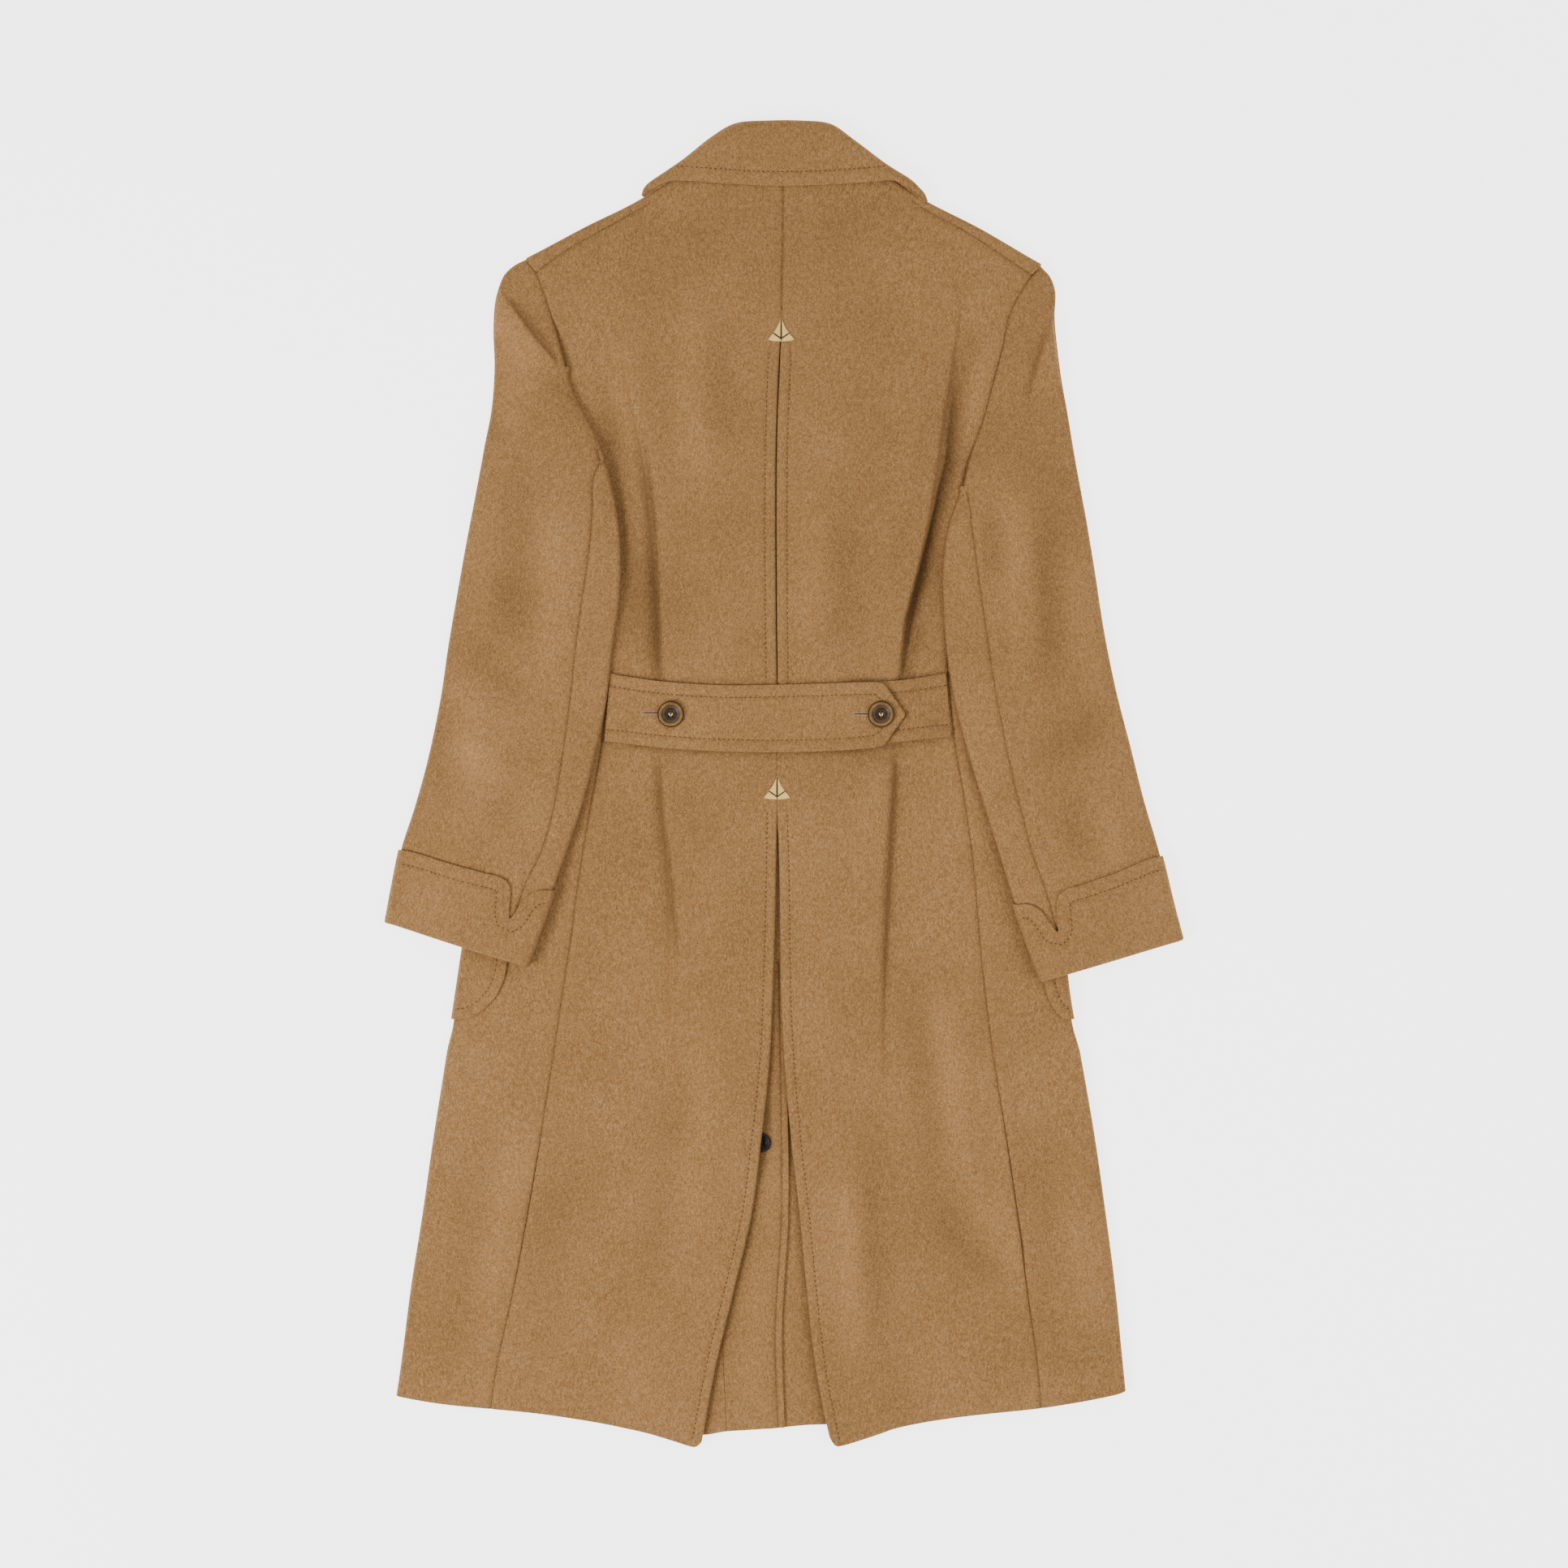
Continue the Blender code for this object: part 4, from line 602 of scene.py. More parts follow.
POCKET_UNDER = (0.0, 0.1, 0.25, 0.45, 0.7, 1.0)
POCKET_OVER = (
    0.0, 0.12, 0.25, 0.38, 0.5, 0.6, 0.68, 0.75, 0.81, 0.86, 0.9, 0.935, 0.96, 0.98, 0.992, 1.0,
)
POCKET_LEVELS = (
    0.0, 0.005, 0.012, 0.022, 0.034, 0.042, 0.048, 0.055, 0.065, 0.08, 0.1, *np.linspace(0.13, 1, 34),
)
NEAR_EDGE = (3.1, 4.3, 5.6, 6.9, 7.9, 8.6, 9.2, 9.9, 11.0, 12.8, 15.2)
NEAR_SEAM = (8.5, 5.8, 3.8, 2.4, 1.3, 0.6, 0.0)
NEAR_TUCK = (-26, -21.5, -17.5, -14, -11, -8, -5.5, -3.5, -2, -0.8, 0.4, 1.5, 2.5, 3.5, 4.5, 6.5)
TURNS = 12

# Threads: radius, how flat each is, and how far its middle lies over the cloth
STITCH_THREAD = (STITCH_RADIUS, 0.7, -0.02)
SEAM_THREAD = (SEAM_RADIUS, 0.6, -0.1)
BUTTON_THREAD = (0.34, 1.0, 0.0)
BUTTONHOLE_THREAD = (0.36, 0.8, 0.1)
# Painted shadow: a dark thread laid in each buttonhole's slit
SLIT_SHADOW_THREAD = (0.42, 0.5, 0.1)
TACK_THREAD = (0.50, 0.9, 0.45)
# Painted shadow: dark lines between the tack's petals
TACK_SHADOW_LINE = (0.50, 0.7, 0.95)

# Button from its middle over the rim to its underside: shares of the radius and of the height
BUTTON_PROFILE = (
    (0.0, 0.50), (0.06, 0.50), (0.12, 0.50), (0.18, 0.505), (0.24, 0.51), (0.30, 0.52), (0.36, 0.535),
    (0.42, 0.56), (0.50, 0.60), (0.57, 0.66), (0.62, 0.74), (0.66, 0.84), (0.70, 0.93), (0.75, 0.99),
    (0.81, 1.0), (0.87, 0.97), (0.92, 0.90), (0.96, 0.80), (0.985, 0.66), (1.0, 0.50), (0.985, 0.34),
    (0.95, 0.18), (0.88, 0.05), (0.8, 0.0), (0.4, 0.0), (0.0, 0.0),
)

# Colours of the wool's nap, its sheen and its lint
NAP = (0.285, 0.150, 0.056)
NAP_DARK = (0.195, 0.095, 0.031)
NAP_LIGHT = (0.385, 0.226, 0.098)
SHEEN = (0.95, 0.74, 0.48, 1.0)
LINT = (0.055, 0.046, 0.03)

# Noise in the wool: scale, detail and roughness of its fibres, clumps, wide clouds and lint
FIBRE_NOISE = (1100, 3, 0.6)
CLUMP_NOISE = (420, 3, 0.6)
CLOUD_NOISE = (9, 3, 0.5)
LINT_NOISE = (640, 2, 0.7)

# Darkest and lightest share that the clumps and the clouds give the colour
CLUMP_SHADE = (0.84, 1.13)
CLOUD_SHADE = (0.93, 1.06)

# Painted shade and highlight: colour shares by the wall's painted shade layer, which is below 0 on ridges,
# where it lightens the cloth, and is shifted to be over 0; it darkens hollows, seams and painted shadows
PAINTED_SHADE_SHIFT = 0.2
PAINTED_SHADE_STOPS = ((0.0, (1.25, 1.25, 1.25)), (0.2, (1.0, 1.0, 1.0)), (1.0, (0.16, 0.13, 0.10)))

# Colours of the threads, and of the horn from the middle of a button to its rim
STITCH_COLOURS = ((0.090, 0.044, 0.016), (0.130, 0.066, 0.026))
BUTTONHOLE_COLOURS = ((0.34, 0.20, 0.12), (0.46, 0.30, 0.19))
SILK_COLOURS = ((0.70, 0.47, 0.145), (0.98, 0.70, 0.25))
# Painted shadow: near-black threads laid in the buttonhole slits and between the tack's petals
SHADOW_THREAD_COLOURS = ((0.05, 0.026, 0.012), (0.08, 0.042, 0.02))
HORN_STOPS = (
    (0.0, (0.058, 0.035, 0.022)), (0.30, (0.043, 0.026, 0.017)), (0.42, (0.026, 0.016, 0.011)),
    (0.52, (0.070, 0.048, 0.032)), (0.60, (0.105, 0.068, 0.036)), (0.65, (0.050, 0.029, 0.014)),
    (0.72, (0.160, 0.086, 0.028)), (0.84, (0.210, 0.120, 0.042)), (0.90, (0.145, 0.076, 0.026)),
    (0.945, (0.036, 0.019, 0.008)), (1.0, (0.026, 0.013, 0.005)),
)
DARK_STOPS = ((0.0, (0.010, 0.008, 0.006)), (1.0, (0.020, 0.015, 0.011)))

# Cloths: name, how many degrees the nap is turned, and the pieces that have it
CLOTH_TURNS = (
    ("camel_straight", 0, ("straight",)),
    ("camel_left_sleeve", 10, ("topsleeve_left", "undersleeve_left")),
    ("camel_right_sleeve", -14, ("topsleeve_right", "undersleeve_right")),
    ("camel_left_cuff", 18, ("cuff_left",)),
    ("camel_right_cuff", -18, ("cuff_right",)),
    ("camel_belt", 4, ("belt_long", "belt_short")),
    ("camel_collar", 0, ("collar",)),
)

# Floor, studio and camera in metres; each light has its name, place, size and power
FLOOR_SIZE = 60.0
FLOOR_DROP = 0.0006
FLOOR_COLOUR = (0.97, 0.97, 0.97)
FLOOR_GLOW = 2.8
WORLD_LIGHT = 0.62
CAMERA_HEIGHT = 3.455
LENS = 85.0
FILM_WIDTH = 36.0
CLIP_END = 50.0
LIGHTS = (
    ("key", (-2.0, -1.0, 2.0), 1.2, 77.0),
    ("fill", (1.3, 1.4, 2.6), 2.4, 26.0),
    ("side", (1.9, -1.0, 1.8), 1.6, 22.0),
)


def smoothstep(low, high, value):
    """Ease from 0 at low to 1 at high."""
    share = min(1.0, max(0.0, (value - low) / (high - low)))
    return share * share * (3.0 - 2.0 * share)


def curve_through(points):
    """Return a function that runs smoothly through (place, value) pairs, straight past its ends."""
    places = [point[0] for point in points]
    values = [point[1] for point in points]
    last = len(points) - 1
    slopes = []
    for index in range(last + 1):
        low = max(0, index - 1)
        high = min(last, index + 1)
        slopes.append((values[high] - values[low]) / (places[high] - places[low]))

    def value_at(place):
        if place <= places[0]:
            return values[0] + slopes[0] * (place - places[0])
        if place >= places[last]:
            return values[last] + slopes[last] * (place - places[last])
        index = next(i for i in range(last) if place <= places[i + 1])
        span = places[index + 1] - places[index]
        t = (place - places[index]) / span
        return ((2 * t ** 3 - 3 * t ** 2 + 1) * values[index]
                + (t ** 3 - 2 * t ** 2 + t) * span * slopes[index]
                + (3 * t ** 2 - 2 * t ** 3) * values[index + 1]
                + (t ** 3 - t ** 2) * span * slopes[index + 1])

    return value_at


def table_curves(columns, table, key=None):
    """Return a dictionary of curves, one for each column of a table, by its first column or row."""
    curves = {}
    for place, name in enumerate(columns):
        if name != key:
            pairs = [(row[0] if key else index, row[place]) for index, row in enumerate(table)]
            curves[name] = curve_through(pairs)
    return curves


def make_side(name):
    """Gather the tables of one side of the coat."""
    left = name == "left"
    return Side(
        name=name,
        sign=-1 if left else 1,
        body=table_curves(BODY_COLUMNS, LEFT_BODY if left else RIGHT_BODY, "y"),
        sleeve=table_curves(SLEEVE_COLUMNS, LEFT_SLEEVE if left else RIGHT_SLEEVE),
        hem=curve_through(LEFT_HEM if left else RIGHT_HEM),
        top=curve_through(LEFT_TOP if left else RIGHT_TOP),
        ridge=table_curves(RIDGE_COLUMNS, LEFT_RIDGE if left else RIGHT_RIDGE, "share"),
        tuck=curve_through(LEFT_TUCK if left else RIGHT_TUCK),
    )


def fold_heights(places, folds):
    """Sum of the soft folds at an array of places."""
    total = np.zeros(len(places))
    for height, left, right, line in folds:
        points = np.array(line, float)
        steps = np.diff(points, axis=0)
        lengths = np.hypot(*steps.T)
        whole = lengths.sum()
        nearest = np.full(len(places), 1e9)
        along = np.zeros(len(places))
        width = np.full(len(places), float(left))
        start = 0.0
        for point, step, length in zip(points, steps, lengths):
            offset = places - point
            t = np.clip(offset @ step / length ** 2, 0, 1)
            away = np.hypot(*(offset - t[:, None] * step).T)
            closer = away < nearest
            cross = step[0] * offset[:, 1] - step[1] * offset[:, 0]
            nearest = np.where(closer, away, nearest)
            along = np.where(closer, (start + t * length) / whole, along)
            width = np.where(closer, np.where(cross > 0, left, right), width)
            start += length
        fade = np.clip(np.minimum(along, 1 - along) / FOLD_FADE, 0, 1)
        fade = fade * fade * (3 - 2 * fade)
        total += height * np.exp(-(nearest / width) ** 2) * fade
    return total


def distance_to(places, line):
    """Distance of each place to a line of points."""
    points = np.array(line, float)
    nearest = np.full(len(places), 1e9)
    for point, step in zip(points, np.diff(points, axis=0)):
        offset = places - point
        t = np.clip(offset @ step / max(1e-9, step @ step), 0, 1)
        nearest = np.minimum(nearest, np.hypot(*(offset - t[:, None] * step).T))
    return nearest


def seam_press(distance):
    """Height of the cloth at a distance from a sewn seam."""
    depth, width = SEAM_DIP
    rise, centre, reach = SEAM_ROLL
    return rise * np.exp(-((distance - centre) / reach) ** 2) - depth * np.exp(-(distance / width) ** 2)


def stitch_press(distance, offset):
    """Height of the cloth at a distance from a folded edge with topstitching behind it."""
    depth, width = STITCH_DIP
    puff = EDGE_PUFF * np.sin(np.pi * np.clip(distance / offset, 0, 1))
    trail, place, reach = PUFF_TRAIL
    swell = np.exp(-((distance - offset - place) / reach) ** 2)
    beyond = trail * EDGE_PUFF * swell * (distance > offset)
    return puff + beyond - depth * np.exp(-((distance - offset) / width) ** 2)


def add_wall(name, grid, closed=False):
    """Make a wall of cloth with soft rims round a grid of middle points in millimetres."""
    mesh = bpy.data.meshes.new(name)
    shape = bmesh.new()
    # A point's fourth value is its painted shade: it darkens the cloth's colour in hollows and lightens it on
    # ridges
    hollow = shape.verts.layers.float.new("hollow")
    points = []
    for row in grid:
        made = []
        for point in row:
            vert = shape.verts.new(Vector(point[:3]) * MM) if point is not None else None
            if vert is not None and len(point) > 3:
                vert[hollow] = point[3]
            made.append(vert)
        points.append(made)
    for low, high in zip(points, points[1:]):
        count = len(low)
        for index in range(count if closed else count - 1):
            corners = (low[index], low[(index + 1) % count], high[(index + 1) % count], high[index])
            if None not in corners:
                shape.faces.new(corners).smooth = True
    bmesh.ops.recalc_face_normals(shape, faces=shape.faces)
    shape.to_mesh(mesh)
    shape.free()
    item = bpy.data.objects.new("cloth_" + name, mesh)
    bpy.context.scene.collection.objects.link(item)
    wall = item.modifiers.new("Cloth", "SOLIDIFY")
    wall.thickness = CLOTH * MM
    wall.offset = 0.0
    wall.use_even_offset = False
    soft = item.modifiers.new("Rim", "BEVEL")
    soft.width = RIM * MM
    soft.segments = 2
    soft.limit_method = "ANGLE"
    soft.angle_limit = math.radians(RIM_ANGLE)
    soft.use_clamp_overlap = True
    item.data.materials.append(CLOTHS.get(name, CLOTHS["straight"]))
    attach(item, "root")
    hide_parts(name)
    WALLS[name] = item
    return item


def press_grid(grid, folds=(), seams=(), stitched=(), weight=None, shadows=()):
    """Raise or lower a grid's points by folds, seams and topstitched edges, and note its painted shade:
    darker in troughs, along seams, stitching and painted shadows, lighter on ridges.
    """
    flat = [point for row in grid for point in row]
    kept = [index for index, point in enumerate(flat) if point is not None]
    array = np.array([flat[index] for index in kept], float)
    places = array[:, :2]
    change = FOLD_GAIN * fold_heights(places, folds)
    # Painted shade and highlight: darker where a fold lowers the cloth, lighter where it raises it, plus
    # painted shadow lines along seams and stitching
    shade = np.clip(-HOLLOW_SHADE * change, *SHADE_LIMITS) + fold_heights(places, shadows)
    for line in seams:
        away = distance_to(places, line)
        change += seam_press(away)
        shade += SEAM_SHADE * np.exp(-(away / SEAM_LINE) ** 2)
    for line, offset, strength in stitched:
        away = distance_to(places, line)
        change += strength * np.where(away < STITCH_REACH * offset, stitch_press(away, offset), 0.0)
        shade += strength * STITCH_SHADE * np.exp(-((away - offset) / STITCH_LINE) ** 2)
    if weight is not None:
        amounts = [value for row in weight for value in row]
        amounts = np.array([amounts[index] for index in kept])
        change *= amounts
        shade *= amounts
    lowest = np.minimum(array[:, 2], FLOOR_MID)
    array[:, 2] = np.maximum(array[:, 2] + change, lowest)
    for index, point, dark in zip(kept, array, shade):
        flat[index] = (*point, float(dark))
    width = len(grid[0])
    return [flat[start:start + width] for start in range(0, len(flat), width)]


def steps_between(low, high, spacing):
    """Even shares from 0 to 1, one for about each spacing, without the ends."""
    count = max(1, round(abs(high - low) / spacing))
    return [index / count for index in range(1, count)]


def centre_lift(side, x, y):
    """How far the back is raised by the pleat's layers under its centre edge."""
    distance = abs(x - side.body["edge"](y))
    upper = UPPER_LIFT + (LOWER_LIFT - UPPER_LIFT) * (1 - smoothstep(*LIFT_CHANGE, y))
    upper *= 1 - smoothstep(*LIFT_NECK, y)
    lift = upper * (1 - smoothstep(LIFT_FLAT, LIFT_END, distance))
    if side.sign < 0:
        reach = math.dist((x, y), VENT_BUTTON)
        lift += VENT_BUMP * (1 - smoothstep(*VENT_BUMP_REACH, reach))
    return lift


def tuck_height(side, x, y):
    """Height of the side tuck: a long rise towards its folded edge and a short drop past it."""
    distance = (x - side.body["tuck"](y)) * side.sign
    height = max(0.0, side.tuck(y)) if LEFT_TUCK[0][0] < y < LEFT_TUCK[-1][0] else 0.0
    if distance < 0:
        return height * math.exp(-(distance / TUCK_RISE) ** 2)
    return height * (1 - smoothstep(0, TUCK_DROP, distance))


def back_mid(side, x, y):
    """Middle of the upper layer of the body at a point."""
    return BACK_MID + centre_lift(side, x, y) + tuck_height(side, x, y)


def back_rows(side):
    """Rows of a back panel from the hem to its upper edge: a height, or a function of the place."""
    rows = [lambda x, share=share: side.hem(x) + (FIRST_ROW - side.hem(x)) * share
            for share in HEM_SHARES]
    rows += [float(y) for y in np.arange(FIRST_ROW, LAST_ROW + 0.1, ROW_STEP)]
    rows += [lambda x, share=share: LAST_ROW + (side.top(x) - LAST_ROW) * share
             for share in (*steps_between(0, TOP_SPAN, ROW_STEP), *TOP_SHARES)]
    return rows


def settle(across, row):
    """Point of a row: its place across depends on its height, and at its ends on each other."""
    if not callable(row):
        return across(row), row
    x = across(0.0)
    for _ in range(SETTLE_STEPS):
        x = (x + across(row(x))) / 2
    return x, row(x)


def line_of(curve, low, high, spacing=8.0):
    """Points of a curve that gives a place across for each height."""
    return [(curve(float(y)), float(y)) for y in np.arange(low, high + 0.1, spacing)]


def shoulder_line(side):
    """Points along a back's shoulder seam."""
    places = [side.sign * x for x in np.arange(SHOULDER_SEAM, SHOULDER_END, 6.0)]
    return [(x, side.top(x)) for x in places]


def edge_close(y):
    """How far a centre edge is drawn in: fully where it is sewn, and a little where it is only pressed."""
    sewn = smoothstep(*SEWN_SPAN, y)
    return SEWN_CLOSE * (sewn + PRESSED_SHARE * (1 - sewn) * smoothstep(*PRESSED_SPAN, y))


def add_back(side):
    """Back panel: a folded return, the folded centre edge, the tuck and the side-back seam."""
    body = side.body
    sign = side.sign
    inset = CLOTH / 2
    radius = STEP / 2

    def edge_column(offset):
        return lambda y: body["edge"](y) + sign * (offset - edge_close(y))

    def tuck_column(offset):
        return lambda y: body["tuck"](y) + sign * offset

    def seam_column(offset):
        return lambda y: body["seam"](y) - sign * (SEAM_SHIFT + offset)

    def between(low, high, share):
        return lambda y: low(y) * (1 - share) + high(y) * share

    columns = [(edge_column(offset), -STEP - GAP, 0.0) for offset in NEAR_RETURN]
    for step in range(TURNS + 1):
        turn = math.pi * (step / TURNS - 0.5)
        reach = inset + radius * (1 - math.cos(turn))
        columns.append((edge_column(reach), radius * (math.sin(turn) - 1), max(0.0, math.sin(turn))))
    columns += [(edge_column(offset), 0.0, 1.0) for offset in NEAR_EDGE]
    start, end = edge_column(NEAR_EDGE[-1]), tuck_column(NEAR_TUCK[0])
    columns += [(between(start, end, share), 0.0, 1.0) for share in steps_between(0, *PANEL_COLUMNS)]
    columns += [(tuck_column(offset), 0.0, 1.0) for offset in NEAR_TUCK]
    start, end = tuck_column(NEAR_TUCK[-1]), seam_column(NEAR_SEAM[0])
    columns += [(between(start, end, share), 0.0, 1.0) for share in steps_between(0, *SIDE_COLUMNS)]
    columns += [(seam_column(offset), 0.0, 1.0) for offset in NEAR_SEAM]
    grid = []
    for row in back_rows(side):
        points = []
        for across, drop, _ in columns:
            x, y = settle(across, row)
            points.append((x, y, back_mid(side, x, y) + drop))
        grid.append(points)
    weight = [[column[2] for column in columns]] * len(grid)
    low, high = SEAM_SPAN
    covered_low = sum(UNDERARM[side.name]) + COVERED_MARGIN[0]
    covered_high = side.sleeve["iy"](0) - COVERED_MARGIN[1]
    seams = [line_of(body["seam"], low, covered_low), line_of(body["seam"], covered_high, high)]
    seams += [shoulder_line(side), line_of(body["edge"], *CENTRE_SEAM)]
    stitched = [(line_of(body["edge"], *span), PLEAT_STITCH, press)
                for span, press in zip(PLEAT_SPANS, (PLEAT_PRESS, VENT_PRESS))]
    grid = press_grid(grid, BACK_FOLDS, seams, stitched, weight, BACK_SHADOWS)
    return add_wall("back_" + side.name, grid)


def window(y, limits):
    """1 between the two middle limits, easing to 0 at the outer ones."""
    return smoothstep(limits[0], limits[1], y) * (1 - smoothstep(limits[2], limits[3], y))


def lead_x(side, y):
    """Front edge of a front panel, past the middle of the coat."""
    share = (y - LEAD_SPAN[0]) / (LEAD_SPAN[1] - LEAD_SPAN[0])
    return -side.sign * (LEAD_REACH + (LEAD_REACH_TOP - LEAD_REACH) * share)


def front_lift(side, x, y):
    """How far a front is raised over the pocket, or over the other front, that lies under it."""
    pocket = window(y, POCKET_LIFT_ROWS) * smoothstep(*POCKET_LIFT_INNER, x * side.sign)
    overlap = 0.0
    if side.sign > 0:
        past = x - lead_x(SIDES["left"], y)
        overlap = 1 - smoothstep(*OVERLAP_RAMP, past)
    return STEP * max(pocket, overlap)


def front_neck(x):
    """Height of the fronts' neckline: straight between its few points."""
    reach = abs(x)
    low, high = FRONT_NECKLINE[:2] if reach < FRONT_NECKLINE[1][0] else FRONT_NECKLINE[1:]
    return low[1] + (high[1] - low[1]) * (reach - low[0]) / (high[0] - low[0])


def side_fold(side, y, lower, extra=0.0):
    """Place across, middle height and radius of the side fold at a height y."""
    radius = (BACK_MID - lower) / 2
    outer = side.body["side"](y) - side.sign * STEP * window(y, POCKET_LIFT_ROWS)
    centre = outer - side.sign * (CLOTH / 2 + radius)
    return centre, (BACK_MID + lower) / 2, radius + extra


def front_point(side, part, share, y, out=0.0):
    """Middle of a front's cloth below the underarm: under, fold or over, moved out by a distance."""
    arm = ARMHOLE_START[side.name]
    lower = FLOOR_MID + front_lift(side, SIDE_PLACE * side.sign, y)
    centre, height, radius = side_fold(side, y, lower, out)
    if part == "under":
        x = arm + (centre - arm) * share
        return x, y, FLOOR_MID + front_lift(side, x, y) - out
    if part == "fold":
        turn = math.pi * (share - 0.5)
        return centre + side.sign * radius * math.cos(turn), y, height + radius * math.sin(turn)
    x = centre + (side.body["seam"](y) + side.sign * SEAM_SHIFT - centre) * share
    return x, y, BACK_MID + out


def front_hem(side, x):
    """Lower edge of a front: behind the back's hem, and the same as it past the side-back seam."""
    return FRONT_HEM(x) if abs(x) < HEM_JOIN[side.name] else side.hem(x)


def chest_line(side, y):
    """Places across of the front's flat part, from its front edge to the armhole."""
    lead = lead_x(SIDES["left"], y)
    arm = ARMHOLE_START[side.name]
    if side.sign > 0:
        start, bend = lead + OVERLAP_RAMP[0], CHEST_BEND
        first = (-lead, -CHEST_LEAD, CHEST_LEAD)
    else:
        start, bend = -lead - CHEST_MARGIN, -CHEST_LEAD
        first = (lead, CHEST_LEAD, -CHEST_LEAD)
    anchors = (start, start + bend, (start + bend + arm) / 2, arm)
    return [*first, *np.interp(np.linspace(0, 3, CHEST_STEPS + 1), range(4), anchors)]


def shoulder_reach(side, share):
    """How far the shoulder point stands out, at a share of the shoulder from the neck."""
    return side.sign * SHOULDER_REACH * share ** SHOULDER_POWER


def add_front(side):
    """Front panel: flat under the back, round the side to the side-back seam and over the shoulder."""
    sign = side.sign
    low, rise = UNDERARM[side.name]
    fold = [("fold", step / TURNS) for step in range(1, TURNS)]
    over = [("over", share) for share in FRONT_OVER]
    parts = [("under", share) for share in FRONT_UNDER] + fold + over
    fixed = [HEM_ROW, *np.arange(FIRST_ROW, UPPER_START - 0.1, ROW_STEP)]
    upper = steps_between(0, low + rise - UPPER_START, ROW_STEP)
    grid = []
    for row in range(len(fixed) + len(upper) + 2):
        points = []

        def height(share, row=row):
            if row < len(fixed):
                return float(fixed[row])
            level = ([0.0, *upper, 1.0])[row - len(fixed)]
            return UPPER_START + (low + rise * share - UPPER_START) * level

        base = height(0.0)
        for x in chest_line(side, base):
            y = front_hem(side, x) if row == 0 else base
            points.append((x, y, FLOOR_MID + front_lift(side, x, y)))
        for part, share in parts:
            y = height(share if part == "over" else 0.0)
            if row == 0:
                place = front_point(side, part, share, y)[0]
                y = front_hem(side, place) if part == "under" else side.hem(place)
            points.append(front_point(side, part, share, y))
        grid.append(points)
    chest = len(chest_line(side, 0.0))
    rest = [None] * (len(grid[0]) - chest)
    ridge = side.ridge
    tops = [(x, front_neck(x)) for x in (-LEAD_REACH_TOP * sign, 0.0, LEAD_REACH_TOP * sign)]
    shares = [step / CHEST_STEPS for step in range(CHEST_STEPS + 1)]
    tops += [(ridge["x"](share) + shoulder_reach(side, share),
              ridge["y"](share) - CLOTH / 2 - SIDE_FOLD_RADIUS) for share in shares]
    bottoms = grid[-1][:chest]
    for level in [step / 10 for step in range(1, 11)]:
        points = []
        for index in range(chest):
            x = bottoms[index][0] * (1 - level) + tops[index][0] * level
            y = bottoms[index][1] * (1 - level) + tops[index][1] * level
            if index == 0:
                x = lead_x(side, y)
            if index == chest - 1:
                x = side.body["seam"](y) - sign * ARMHOLE_CLEAR
            points.append((x, y, FLOOR_MID + front_lift(side, x, y)))
        grid.append(points + rest)
    flat_rows = len(grid)
    shoulder = tops[3:]
    for step in range(1, TURNS + 1):
        turn = math.pi * (step / TURNS - 0.5)
        height = FLOOR_MID + SIDE_FOLD_RADIUS * (1 + math.sin(turn))
        points = [(x, y + SIDE_FOLD_RADIUS * math.cos(turn), height) for x, y in shoulder]
        grid.append([None] * 3 + points + rest)
    ends = [ridge["seam_x"](share) + shoulder_reach(side, share) for share in shares]
    ends = [(x, min(side.top(x) + SHOULDER_CLEAR, top[1] - GAP)) for x, top in zip(ends, shoulder)]
    for share in SHOULDER_SHARES:
        points = [(x + (end_x - x) * share, y + (end_y - y) * share, BACK_MID)
                  for (x, y), (end_x, end_y) in zip(shoulder, ends)]
        grid.append([None] * 3 + points + rest)
    row_weight = [0.0] * (chest + len(FRONT_UNDER)) + [max(0.0, 2 * share - 1) for _, share in fold]
    row_weight += [1.0] * len(over)
    weight = [row_weight] * flat_rows + [[1.0] * len(grid[0])] * (len(grid) - flat_rows)
    seams = [line_of(side.body["seam"], SEAM_SPAN[0], low + rise), ends[CHEST_STEPS // 3:]]
    return add_wall("front_" + side.name, press_grid(grid, SKIRT_FOLDS, seams, (), weight))


def pocket_point(side, part, share, level, out):
    """Point of a patch pocket; level runs from its rounded lower edge to its opening."""
    width, low, corner = POCKET_EDGE[side.name]
    rounding = {"under": (1 - share) ** 2, "fold": 0.0, "over": share}[part]
    bottom = low + corner * (1 - math.sqrt(max(0.0, 1 - rounding ** 2)))
    y = bottom + (POCKET_TOP - bottom) * level
    centre = side_fold(side, y, FLOOR_MID + front_lift(side, SIDE_PLACE * side.sign, y))[0]
    if part == "fold":
        return front_point(side, part, share, y, out)
    if part == "under":
        start = POCKET_INNER * side.sign
        return start + (centre - start) * share, y, FLOOR_MID
    inner = side.body["side"](y) - side.sign * width
    return centre + (inner - centre) * share, y, BACK_MID + out


